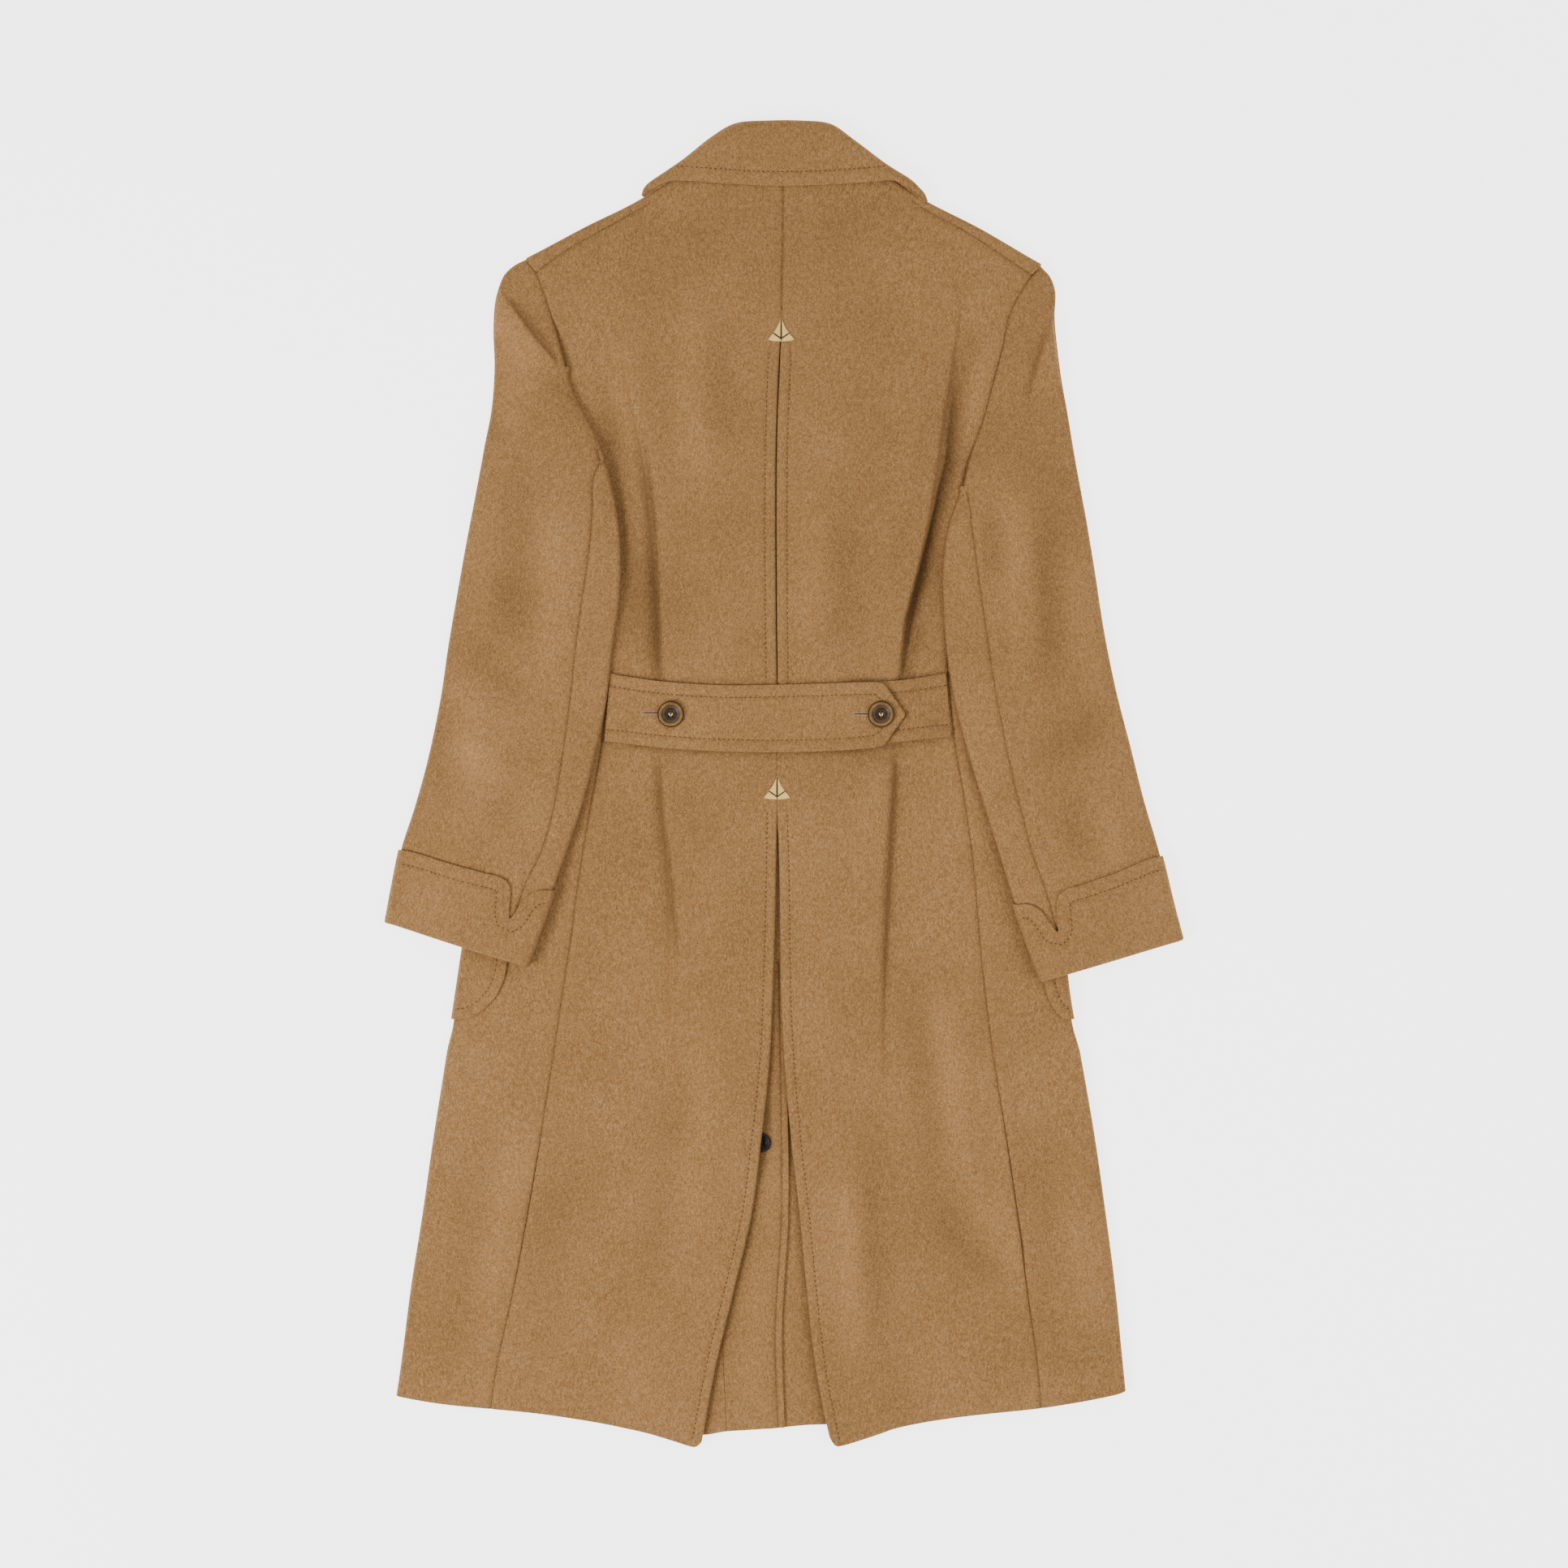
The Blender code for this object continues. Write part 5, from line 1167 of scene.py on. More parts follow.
def add_pocket(side):
    """Patch pocket, from the front's points moved out: under the front, round the side, on the back."""
    out = STEP + POCKET_CLEAR
    turns = [step / TURNS for step in range(1, TURNS)]
    parts = [("under", share) for share in POCKET_UNDER]
    parts += [("fold", share) for share in turns] + [("over", share) for share in POCKET_OVER]
    grid = [[pocket_point(side, part, share, level, out) for part, share in parts]
            for level in POCKET_LEVELS]
    edge = [pocket_point(side, "over", share, 0.0, out)[:2] for share in POCKET_OVER]
    edge += [pocket_point(side, "over", 1.0, level, out)[:2] for level in (0.2, 0.5, 1.0)]
    weight = [0.0] * len(POCKET_UNDER) + [max(0.0, 2 * share - 1) for share in turns]
    weight += [1.0] * len(POCKET_OVER)
    grid = press_grid(grid, SKIRT_FOLDS, (), [(edge, POCKET_STITCH, 1.0)], [weight] * len(grid))
    add_wall("pocket_" + side.name, grid)
    return edge


def body_edge(side, y):
    """Outer edge of the body under the sleeve: the side fold, the armhole's curve, then its seam."""
    low, rise = UNDERARM[side.name]
    outer = side.body["side"](y)
    seam = side.body["seam"](y)
    if y <= low:
        return outer
    share = min(1.0, max(0.0, (y - low - UNDERARM_MARGIN) / rise))
    return outer + (seam - outer) * share


def sleeve_base(side, x, y):
    """Height that the sleeve lies on: the body and its pocket, then down to the surface past its side."""
    distance = (x - body_edge(side, y)) * side.sign
    on_body = 1 - smoothstep(0, SLEEVE_DROP, distance)
    top = SLEEVE_LIFT_FADE[side.name][0]
    on_body *= 1 - smoothstep(*SLEEVE_LIFT_FADE[side.name], y)
    sink = ARMHOLE_SINK * smoothstep(top - SINK_START[0], top - SINK_START[1], y)
    rise = back_mid(side, x, y) - BACK_MID if distance < 0 else 0.0
    pocket = POCKET_STACK * window(y, (*POCKET_LIFT_ROWS[:2], *POCKET_STACK_END))
    return (BODY_TOP + rise + pocket - sink) * on_body


def sleeve_edge(side, row, name):
    """Point on a sleeve's outer (o) or inner (i) edge, and the direction that looks out from it."""
    key = (side.name, round(row, 6), name)
    if key not in EDGES:
        curves = side.sleeve[name + "x"], side.sleeve[name + "y"]
        point = Vector([curve(row) for curve in curves])
        low = max(0.0, row - 0.1)
        tangent = Vector([curve(row + 0.1) - curve(low) for curve in curves]).normalized()
        turn = side.sign if name == "o" else -side.sign
        EDGES[key] = point, Vector((-tangent.y, tangent.x)) * turn
    return EDGES[key]


def sleeve_plan(side, row, share):
    """Point seen from above on a sleeve's row, from its outer fold (0) to its inner fold (1)."""
    inset = CLOTH / 2 + SLEEVE_FOLD_RADIUS
    outer, outer_way = sleeve_edge(side, row, "o")
    inner, inner_way = sleeve_edge(side, row, "i")
    point = (outer - outer_way * inset).lerp(inner - inner_way * inset, share)
    if row < ARMHOLE_ROWS:
        outer, outer_way = sleeve_edge(side, 0, "o")
        inner, inner_way = sleeve_edge(side, 0, "i")
        first = (outer - outer_way * inset).lerp(inner - inner_way * inset, share)
        armhole = side.body["seam"](first.y) + side.sign * ARMHOLE_CLEAR
        point.x += (armhole - first.x) * (1 - smoothstep(0, ARMHOLE_ROWS, row))
    return point


def last_sleeve_row(side):
    return len(LEFT_SLEEVE if side.sign < 0 else RIGHT_SLEEVE) - 1


def sleeve_floor(side, plan, row):
    """Middle of the sleeve's lower layer, raised over the cuff's lower layer at the end."""
    last = last_sleeve_row(side)
    cuff_lift = (STEP + LAYER_CLEAR) * smoothstep(last - CUFF_LIFT[0], last - CUFF_LIFT[1], row)
    return sleeve_base(side, plan.x, plan.y) + CLOTH / 2 + cuff_lift


def body_share(side, row):
    """Share of a sleeve's row, from its outer fold, where it comes onto the body."""
    key = (side.name, round(row, 6))
    if key not in SHARES:
        low, high = 0.0, 1.0
        for _ in range(16):
            middle = (low + high) / 2
            plan = sleeve_plan(side, row, middle)
            if (plan.x - body_edge(side, plan.y)) * side.sign > 0:
                low = middle
            else:
                high = middle
        outer = sleeve_floor(side, sleeve_plan(side, row, 0.0), row)
        inner = sleeve_floor(side, sleeve_plan(side, row, 1.0), row)
        SHARES[key] = low, outer, inner
    return SHARES[key]


def upper_floor(side, row, share):
    """Height under the upper layer: even down from the body to the sleeve's outer fold."""
    plan = sleeve_plan(side, row, share)
    here = sleeve_floor(side, plan, row)
    follow = smoothstep(1, ARMHOLE_ROWS, row)
    if follow == 0.0:
        return here
    edge, outer, inner = body_share(side, row)
    even = outer + (inner - outer) * smoothstep(0.0, max(0.3, edge), share)
    return here + (even - here) * follow


def sleeve_point(side, ring, row, out=0.0):
    """Middle of a sleeve's cloth. ring: 0-1 under from the inner edge, 1-2 outer fold,
    2-3 over from the outer edge, 3-4 inner fold."""
    radius = SLEEVE_FOLD_RADIUS
    ring = ring % 4
    if ring <= 1:
        plan = sleeve_plan(side, row, 1 - ring)
        return plan.x, plan.y, sleeve_floor(side, plan, row) - out
    if 2 <= ring <= 3:
        share = ring - 2
        plan = sleeve_plan(side, row, share)
        crown = side.sleeve["crown"](row) * math.sin(math.pi * share)
        return plan.x, plan.y, upper_floor(side, row, share) + 2 * radius + crown + out
    outer = ring < 2
    plan = sleeve_plan(side, row, 0.0 if outer else 1.0)
    way = sleeve_edge(side, row, "o" if outer else "i")[1]
    turn = math.pi * ((ring - 1.5) if outer else (3.5 - ring))
    reach = (radius + out) * math.cos(turn)
    height = sleeve_floor(side, plan, row) + radius + (radius + out) * math.sin(turn)
    return plan.x + way.x * reach, plan.y + way.y * reach, height


def sleeve_width(side, row):
    return (sleeve_plan(side, row, 0) - sleeve_plan(side, row, 1)).length


def under_stations(side, row):
    """Places round the ring for the sleeve's lower layer: finer where it comes off the body."""
    low, high, last = UNDER_LIMITS
    edge = min(high, max(low, 1 - body_share(side, row)[0]))
    width = sleeve_width(side, row)
    scale = min(1.0, (last - edge) * width / UNDER_STEPS[-1]) / width
    return [edge * 0.5] + [edge + step * scale for step in UNDER_STEPS] + [1.0]


def ring_gap(side, row, ring):
    """Half of a seam's gap as a share of the ring's part that it lies on."""
    if 2 <= ring <= 3:
        return SEAM_SHIFT / sleeve_width(side, row)
    return FOLD_SEAM_SHIFT / (math.pi * SLEEVE_FOLD_RADIUS)


def upper_weight(ring):
    """How far a pressed line or a soft fold shows at a place round the sleeve."""
    share = ring % 4 - 2
    return smoothstep(-0.2, 0.04, share) * (1 - smoothstep(0.96, 1.2, share))


def turned_down(side, points, rings):
    """Rows that turn a sleeve's raised end down to the armhole seam, from the seam to the end."""
    rows = []
    for share in TURN_SHARES:
        row = []
        for (x, y, z), ring in zip(points, rings):
            round_place = ring + 4 if ring < 1 else ring
            drop_share = share * smoothstep(1.9, 2.1, round_place) * (1 - smoothstep(4.0, 4.4, round_place))
            fall = max(0.0, z - back_mid(side, x, y))
            row.append((x - side.sign * TURN_INSET * share ** 2, y, z - fall * drop_share))
        rows.append(row)
    return rows


def sleeve_rings(side, row):
    """Places round the ring for the top sleeve and the under sleeve of a row."""
    seam = side.sleeve["seam"](row)
    gap = ring_gap(side, row, seam)
    under = under_stations(side, row)
    front_gap = ring_gap(side, row, 2.5)
    width = sleeve_width(side, row)
    end, start = seam - gap, seam + gap
    flat_end = min(end, 3.0)
    tops = [2.0 + (flat_end - 2.0) * step / 24 for step in range(25)]
    tops = [ring for ring in tops if ring < flat_end - 12.0 / width]
    tops = np.interp(np.linspace(0, 1, 21), np.linspace(0, 1, len(tops)), tops)
    if seam <= 3.0:
        closing = [end - offset / width for offset in SEAM_NEAR]
        opening = [start + (3.0 - start) * share for share in SEAM_FAR]
    else:
        closing = [3.0 - 9.0 / width, 3.0 - 5.0 / width, 3.0]
        closing += [3.0 + (end - 3.0) * share for share in SEAM_NEAR_TURNED]
        opening = [start + (3.75 - start) * share for share in SEAM_FAR_TURNED]
    top_rings = [under[0] + front_gap, *under[1:], *SLEEVE_FOLD_RINGS, *tops, *closing]
    folded = max(3.0, opening[-1])
    under_rings = opening + [folded + (4.0 - folded) * step / 10 for step in range(1, 11)]
    under_rings += [4.0 + under[0] * 0.5, 4.0 + under[0] - front_gap]
    return top_rings, under_rings


def add_sleeve(side):
    """Top sleeve and under sleeve, which meet at the elbow seam and at the hidden front seam."""
    last = last_sleeve_row(side)
    rows = [min(float(row), last - CUFF_HANG) for row in np.arange(0, last + SLEEVE_STEP / 2, SLEEVE_STEP)]
    rings = [sleeve_rings(side, row) for row in rows]
    seam_line = [sleeve_point(side, side.sleeve["seam"](row), row)[:2] for row in rows]
    armhole = [sleeve_point(side, 2 + step / 20, 0.0)[:2] for step in range(21)]
    seams = [seam_line[int(4 / SLEEVE_STEP):], armhole]
    for place, name in enumerate(("topsleeve_", "undersleeve_")):
        grid = [[sleeve_point(side, ring, row) for ring in both[place]] for both, row in zip(rings, rows)]
        weight = [[upper_weight(ring) for ring in both[place]] for both in rings]
        turned = turned_down(side, grid[0], rings[0][place])
        grid = turned + grid
        weight = [weight[0]] * len(turned) + weight
        grid = press_grid(grid, SLEEVE_FOLDS[side.name], seams, (), weight, SLEEVE_SHADOWS[side.name])
        add_wall(name + side.name, grid)


def add_cuff(side):
    """Turned-back cuff: a second layer round the sleeve's end, with a notch at the elbow seam."""
    last = last_sleeve_row(side)
    start = curve_through(CUFF_EDGE)
    upper = [*SLEEVE_FOLD_RINGS] + [2.0 + 0.7 * step / 26 for step in range(27)]
    upper += [*CUFF_NOTCH] + [3.0 + step / 10 for step in range(10)]
    grid = []
    stations = under_stations(side, last - start(0.5) * 0.5)
    rings = [0.0, *stations, *upper]
    out = STEP + LAYER_CLEAR
    for level in CUFF_LEVELS:
        rows = [last - start(ring) * (1 - level) for ring in rings]
        grid.append([sleeve_point(side, ring, row, out) for ring, row in zip(rings, rows)])
    for step in range(1, CUFF_BRIM_STEPS + 1):
        turn = math.pi * step / CUFF_BRIM_STEPS
        row = last + out / 2 * math.sin(turn) / SLEEVE_ROW_LENGTH
        grid.append([sleeve_point(side, ring, row, out / 2 * (1 + math.cos(turn))) for ring in rings])
    weight = [[upper_weight(ring) for ring in rings]] * len(grid)
    edge = [sleeve_point(side, ring, last - start(ring), out)[:2] for ring in rings if 1.9 < ring < 3.3]
    grid = press_grid(grid, SLEEVE_FOLDS[side.name], (), [(edge, CUFF_STITCH, 1.0)], weight)
    add_wall("cuff_" + side.name, grid, closed=True)
    return edge


def add_upper_underlay():
    """Inset of the pleat above the belt."""
    left = SIDES["left"].body["edge"]
    right = SIDES["right"].body["edge"]
    grid = []
    for level in range(UPPER_UNDERLAY_ROWS + 1):
        y = BELT_MIDDLE + UNDERLAY_GAP + (UPPER_UNDERLAY_TOP - BELT_MIDDLE) * level / UPPER_UNDERLAY_ROWS
        middle = (left(y) + right(y)) / 2
        grid.append([(middle + UNDERLAY_REACH * share, y, UPPER_UNDERLAY_MID)
                     for share in np.linspace(-1, 1, UPPER_UNDERLAY_COLUMNS)])
    return add_wall("pleat_underlay", grid)


def add_vent_underlays():
    """Underlays of the vent: the left one lies over the right one."""
    left_edge = SIDES["left"].body["edge"]
    right_edge = SIDES["right"].body["edge"]
    lap = curve_through(UNDERLAY_EDGE)
    hem = curve_through(UNDERLAY_HEM)
    inset, press_low, press_high = UNDERLAY_PRESS
    top = BELT_MIDDLE - UNDERLAY_GAP
    for name, height in (("left", LEFT_UNDERLAY_MID), ("right", RIGHT_UNDERLAY_MID)):
        grid = []
        for level in range(UNDERLAY_ROWS + 1):
            y = top + (UNDERLAY_END - top) * (1 - level / UNDERLAY_ROWS)
            if name == "right":
                low, high = lap(y) - UNDERLAY_LAP, right_edge(y) + UNDERLAY_REACH
                across = np.linspace(low, high, UNDERLAY_EVEN_COLUMNS)
            else:
                low, high = left_edge(y) - UNDERLAY_REACH, lap(y)
                across = [*np.linspace(low, high - UNDERLAY_NEAR_START, UNDERLAY_COLUMNS)]
                across += [high - offset for offset in reversed(UNDERLAY_NEAR)]
            rise = min(1, level / UNDERLAY_HEM_ROWS)
            at_hem = level <= UNDERLAY_HEM_ROWS
            grid.append([(x, hem(x) + (y - hem(x)) * rise if at_hem else y, height) for x in across])
        pressed = [line_of(lambda y: lap(y) - inset, press_low, press_high)] if name == "left" else []
        grid = press_grid(grid, UNDERLAY_FOLDS, pressed, (), None, UNDERLAY_SHADOWS)
        add_wall("vent_underlay_" + name, grid)


def belt_top_mid(x, y, extra=0.0):
    """Middle of a belt piece at a point, with its lap over the other piece as the extra."""
    centre = (SIDES["left"].body["edge"](y) + SIDES["right"].body["edge"](y)) / 2
    side = SIDES["left" if x < centre else "right"]
    return back_mid(side, x, y) + STEP + BELT_CLEAR + extra


def belt_point(name, top, bottom, x, share):
    """Point of a belt piece: x along it, share up across it; its sewn end leans."""
    y = bottom(x) + (top(x) - bottom(x)) * share
    long_piece = name == "belt_long"
    lap = TIP_RISE * smoothstep(*BELT_LAP, x) if long_piece else 0.0
    sewn_end = BELT_ENDS[name][0 if long_piece else 1]
    lean = (share - 0.5) * BELT_LEAN
    lean *= max(0.0, 1 - abs(x - sewn_end) / BELT_LEAN_REACH)
    return (x - lean if x > 0 else x + lean), y, belt_top_mid(x, y, lap)


def belt_tip(low, high, start, shares):
    """Rows of points from the end of the long belt piece to its point."""
    tip_x, tip_y = BELT_TIP
    rows = []
    for reach in TIP_REACHES:
        narrow = 1 - TIP_TAPER * reach ** TIP_TAPER_POWER
        middle = (low + high) / 2 * (1 - reach) + tip_y * reach
        points = []
        for share in shares:
            y = middle + (share - 0.5) * (high - low) * narrow
            round_off = TIP_ROUND * reach * (abs(share - 0.5) * 2) ** 2
            x = start + (tip_x - start) * reach - round_off
            points.append((x, y, belt_top_mid(x, y, TIP_RISE)))
        rows.append(points)
    return rows


def add_belts():
    """Half belt across the waist: its two pieces lie on the back, the long one on top."""
    shares = [*BELT_SHARES, 0.5, *(1 - share for share in reversed(BELT_SHARES))]
    for name, rows in (("belt_long", BELT_LONG), ("belt_short", BELT_SHORT)):
        top = curve_through([(row[0], row[1]) for row in rows])
        bottom = curve_through([(row[0], row[2]) for row in rows])
        long_piece = name == "belt_long"
        start, end = BELT_ENDS[name]
        stops = [*np.arange(start, end, BELT_SPACING), end]
        grid = [[belt_point(name, top, bottom, x, share) for share in shares] for x in stops]
        if long_piece:
            grid += belt_tip(bottom(end), top(end), end, shares)
        lower = [row[0][:2] for row in grid]
        upper = [row[-1][:2] for row in grid]
        whole = lower + [point[:2] for point in grid[-1]] + upper[::-1]
        BELT_EDGES[name] = [whole] if long_piece else [lower, upper]
        lines = [(line, BELT_STITCH, 1.0) for line in BELT_EDGES[name]]
        shadows = () if long_piece else TIP_SHADOWS
        add_wall(name, press_grid(grid, BACK_FOLDS, (), lines, None, shadows))


def collar_rise(share):
    """How far up the collar's fall has risen, from its lower edge to its roll."""
    return smoothstep(-0.3, 1.0, share) * smoothstep(-0.02, 0.3, share)


def add_collar():
    """Collar: the fall from its lower edge up to the roll, and the layer that lies under it."""
    curves = table_curves(COLLAR_COLUMNS, COLLAR)
    grid, lower = [], []
    for index in np.linspace(0, len(COLLAR) - 1, COLLAR_SECTIONS):
        row = {name: curve(float(index)) for name, curve in curves.items()}
        edge = Vector((row["edge_x"], row["edge_y"]))
        roll = Vector((row["roll_x"], row["roll_y"]))
        along = (roll - edge).normalized()
        radius = row["radius"]
        side = SIDES["left" if edge.x < 0 else "right"]
        edge_height = back_mid(side, edge.x, edge.y) + STEP + COLLAR_SEAT + max(0.2, row["stand_off"])
        top_height = max(edge_height + COLLAR_LEAST_RISE, FLOOR_MID + 2 * radius)
        centre = roll - along * (radius + CLOTH / 2)
        points = []
        for share in COLLAR_FALLS:
            place = edge.lerp(centre, share)
            height = edge_height + (top_height - edge_height) * collar_rise(share)
            points.append((place.x, place.y, height))
        reach = abs(roll.x)
        inside = 1 - smoothstep(*COLLAR_NECK_FADE, reach)
        target = front_neck(roll.x) + COLLAR_NECK_CLEAR
        if reach > LEAD_REACH_TOP:
            target = max(target, side.ridge["y"](0) + COLLAR_NECK_CLEAR)
        turn_past = ROLL_PAST[0] + ROLL_PAST[1] * inside
        for step in range(ROLL_STEPS + 1):
            turn = math.radians(90 - (90 + turn_past) * step / ROLL_STEPS)
            place = centre + along * radius * math.cos(turn)
            points.append((place.x, place.y, top_height - radius * (1 - math.sin(turn))))
        low = points[-1]
        under = max(GAP, (centre.y - target) / along.y)
        for share in (0.25, 0.5, 0.75, 1.0):
            place = centre - along * under * share
            flat = Vector((place.x, place.y, top_height - 2 * radius))
            stub = Vector(low) + Vector((-along.x, -along.y, -COLLAR_STUB_FALL)) * COLLAR_STUB * share
            points.append(tuple(stub.lerp(flat, inside)))
        grid.append(points)
        lower.append(points[0][:2])
    falls = len(COLLAR_FALLS)
    weight = [[1.0] * falls + [0.0] * (len(grid[0]) - falls)] * len(grid)
    add_wall("collar", press_grid(grid, (), (), [(lower, COLLAR_STITCH, 1.0)], weight))
    return lower


def add_collar_stand():
    """Collar stand, from the back's neck edge up into the roll."""
    left_top = SIDES["left"].top
    right_top = SIDES["right"].top
    roll = curve_through([(row[2], row[3]) for row in COLLAR])
    grid = []
    for share in np.linspace(0, 1, STAND_ROWS):
        points = []
        for x in np.linspace(-STAND_HALF, STAND_HALF, STAND_COLUMNS):
            low = (left_top(x) if x < 0 else right_top(x)) + ARMHOLE_CLEAR
            high = roll(x) - 2 * CLOTH
            points.append((x, low + (high - low) * share, BACK_MID - STAND_SINK))
        grid.append(points)
    return add_wall("collar_stand", grid)


def surface(names):
    """Search trees of walls, to lay small pieces on them."""
    graph = bpy.context.evaluated_depsgraph_get()
    return [BVHTree.FromObject(WALLS[name], graph) for name in names]


def drop(trees, x, y):
    """Highest point of the walls under a place, in millimetres."""
    best = None
    for tree in trees:
        hit = tree.ray_cast(Vector((x * MM, y * MM, RAY_START)), Vector((0, 0, -1)))[0]
        if hit is not None and (best is None or hit.z > best.z * MM):
            best = hit / MM
    return best


def add_pills(name, rows, thread, material):
    """One object of small rounded threads, each between two points in millimetres."""
    radius, flat, lift = thread
    mesh = bpy.data.meshes.new(name)
    shape = bmesh.new()
    for low, high in rows:
        low, high = Vector(low), Vector(high)
        axis = (high - low) / 2
        middle = (high + low) / 2 + Vector((0, 0, lift))
        across = axis.cross(Vector((0, 0, 1))).normalized()
        up = across.cross(axis).normalized()
        rings = []
        for place, size in PILL_PROFILE:
            ring = []
            for side in range(PILL_SIDES):
                turn = 2 * math.pi * side / PILL_SIDES
                away = across * math.cos(turn) + up * math.sin(turn) * flat
                ring.append(shape.verts.new((middle + axis * place + away * radius * size) * MM))
            rings.append(ring)
        for one, two in zip(rings, rings[1:]):
            for side in range(PILL_SIDES):
                after = (side + 1) % PILL_SIDES
                shape.faces.new((one[side], one[after], two[after], two[side])).smooth = True
        shape.faces.new(list(reversed(rings[0])))
        shape.faces.new(rings[-1])
    bmesh.ops.recalc_face_normals(shape, faces=shape.faces)
    shape.to_mesh(mesh)
    shape.free()
    item = bpy.data.objects.new(name, mesh)
    bpy.context.scene.collection.objects.link(item)
    item.data.materials.append(material)
    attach(item, "root")
    return item


def along_line(line, pitch, length):
    """Pairs of places along a line, one pair for each stitch."""
    points = np.array(line, float)
    steps = np.diff(points, axis=0)
    lengths = np.concatenate([[0.0], np.cumsum(np.hypot(*steps.T))])
    pairs = []
    place = pitch / 2
    while place + length / 2 < lengths[-1]:
        ends = [place - length / 2, place + length / 2]
        pairs.append([tuple(float(np.interp(end, lengths, points[:, axis])) for axis in (0, 1))
                      for end in ends])
        place += pitch * random.uniform(*STITCH_UNEVEN)
    return pairs


def inset_lines(edge, offset, turn):
    """The lines that run at a distance inside an edge, cut where the edge turns back to them."""
    points = np.array(edge, float)
    lengths = np.concatenate([[0.0], np.cumsum(np.hypot(*np.diff(points, axis=0).T))])
    fine = np.arange(0, lengths[-1], LINE_STEP)
    points = np.column_stack([np.interp(fine, lengths, points[:, axis]) for axis in (0, 1)])
    steps = np.gradient(points, axis=0)
    steps /= np.hypot(*steps.T)[:, None]
    moved = points + turn * offset * np.column_stack([-steps[:, 1], steps[:, 0]])
    clear = distance_to(moved, points) > offset - LINE_CLEAR
    lines, current = [], []
    for place, keep in zip(moved, clear):
        if keep:
            current.append(tuple(place))
        else:
            lines.append(current)
            current = []
    return [line for line in (*lines, current) if len(line) > SHORTEST_LINE]


def add_stitches(name, lines, walls):
    """Rows of small sunk stitches along lines on the named walls."""
    trees = surface(walls)
    rows = []
    for line in lines:
        for low, high in along_line(line, STITCH_PITCH, STITCH_LONG):
            ends = [drop(trees, *low), drop(trees, *high)]
            if None not in ends and abs(ends[0].z - ends[1].z) < STITCH_CLIMB:
                rows.append(ends)
    return add_pills("stitches_" + name, rows, STITCH_THREAD, THREAD)


def add_seam_line(name, line, walls):
    """Closed seam that is too fine for the wall: a thin dark line sunk into its surface."""
    trees = surface(walls)
    rows = []
    for low, high in along_line(line, STITCH_PITCH, STITCH_PITCH + SEAM_LAP):
        ends = [drop(trees, *low), drop(trees, *high)]
        if None not in ends:
            rows.append(ends)
    return add_pills(name, rows, SEAM_THREAD, THREAD)


def add_button(name, place, radius, height, material, steps):
    """Turned button with a raised rim, a ring groove and a bowl, and its four sewing holes."""
    middle_x, middle_y = place
    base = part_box(name)[0][2]
    profile = [(share * radius, level * height) for share, level in BUTTON_PROFILE]
    mesh = bpy.data.meshes.new(name)
    shape = bmesh.new()
    rings = []
    for reach, level in profile:
        if reach == 0.0:
            rings.append([shape.verts.new((0, 0, level * MM))] * steps)
        else:
            ring = []
            for step in range(steps):
                turn = 2 * math.pi * step / steps
                corner = reach * math.cos(turn) * MM, reach * math.sin(turn) * MM, level * MM
                ring.append(shape.verts.new(corner))
            rings.append(ring)
    for one, two in zip(rings, rings[1:]):
        for step in range(steps):
            after = (step + 1) % steps
            corners = list(dict.fromkeys((one[step], two[step], two[after], one[after])))
            shape.faces.new(corners).smooth = True
    bmesh.ops.recalc_face_normals(shape, faces=shape.faces)
    for index in range(4):
        turn = math.radians(45 + 90 * index)
        middle = Vector((HOLE_OFFSET * math.cos(turn), HOLE_OFFSET * math.sin(turn)))
        for vert in shape.verts:
            away = (Vector(vert.co.xy) / MM - middle).length
            if vert.co.z > 0.5 * height * MM and away < HOLE_REACH:
                vert.co.z -= HOLE_DEPTH * MM
    shape.to_mesh(mesh)
    shape.free()
    item = bpy.data.objects.new("finish_" + name, mesh)
    bpy.context.scene.collection.objects.link(item)
    item.location = (middle_x * MM, middle_y * MM, base)
    item.data.materials.append(material)
    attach(item, "root")
    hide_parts(name)
    return item


def add_buttons():
    """Belt buttons with their thread, and the dark button inside the vent."""
    for name, place in BELT_BUTTONS.items():
        node = "belt_button_" + name
        add_button(node, place, BUTTON_RADIUS, BUTTON_HEIGHT, HORN_FINISH, BUTTON_STEPS)
        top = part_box(node)[0][2] / MM + BUTTON_HEIGHT * 0.5
        (low_reach, low_y), (high_reach, high_y) = THREAD_ENDS
        threads = []
        for side in (-1, 1):
            for strand in THREAD_STRANDS:
                x = place[0] + strand
                low = x + side * low_reach, place[1] + low_y, top
                high = x + side * high_reach, place[1] + high_y, top
                threads.append((low, high))
        add_pills("thread_" + name, threads, BUTTON_THREAD, SILK)
    add_button("vent_button", VENT_BUTTON, VENT_BUTTON_RADIUS, VENT_BUTTON_HEIGHT, DARK_FINISH,
               VENT_BUTTON_STEPS)


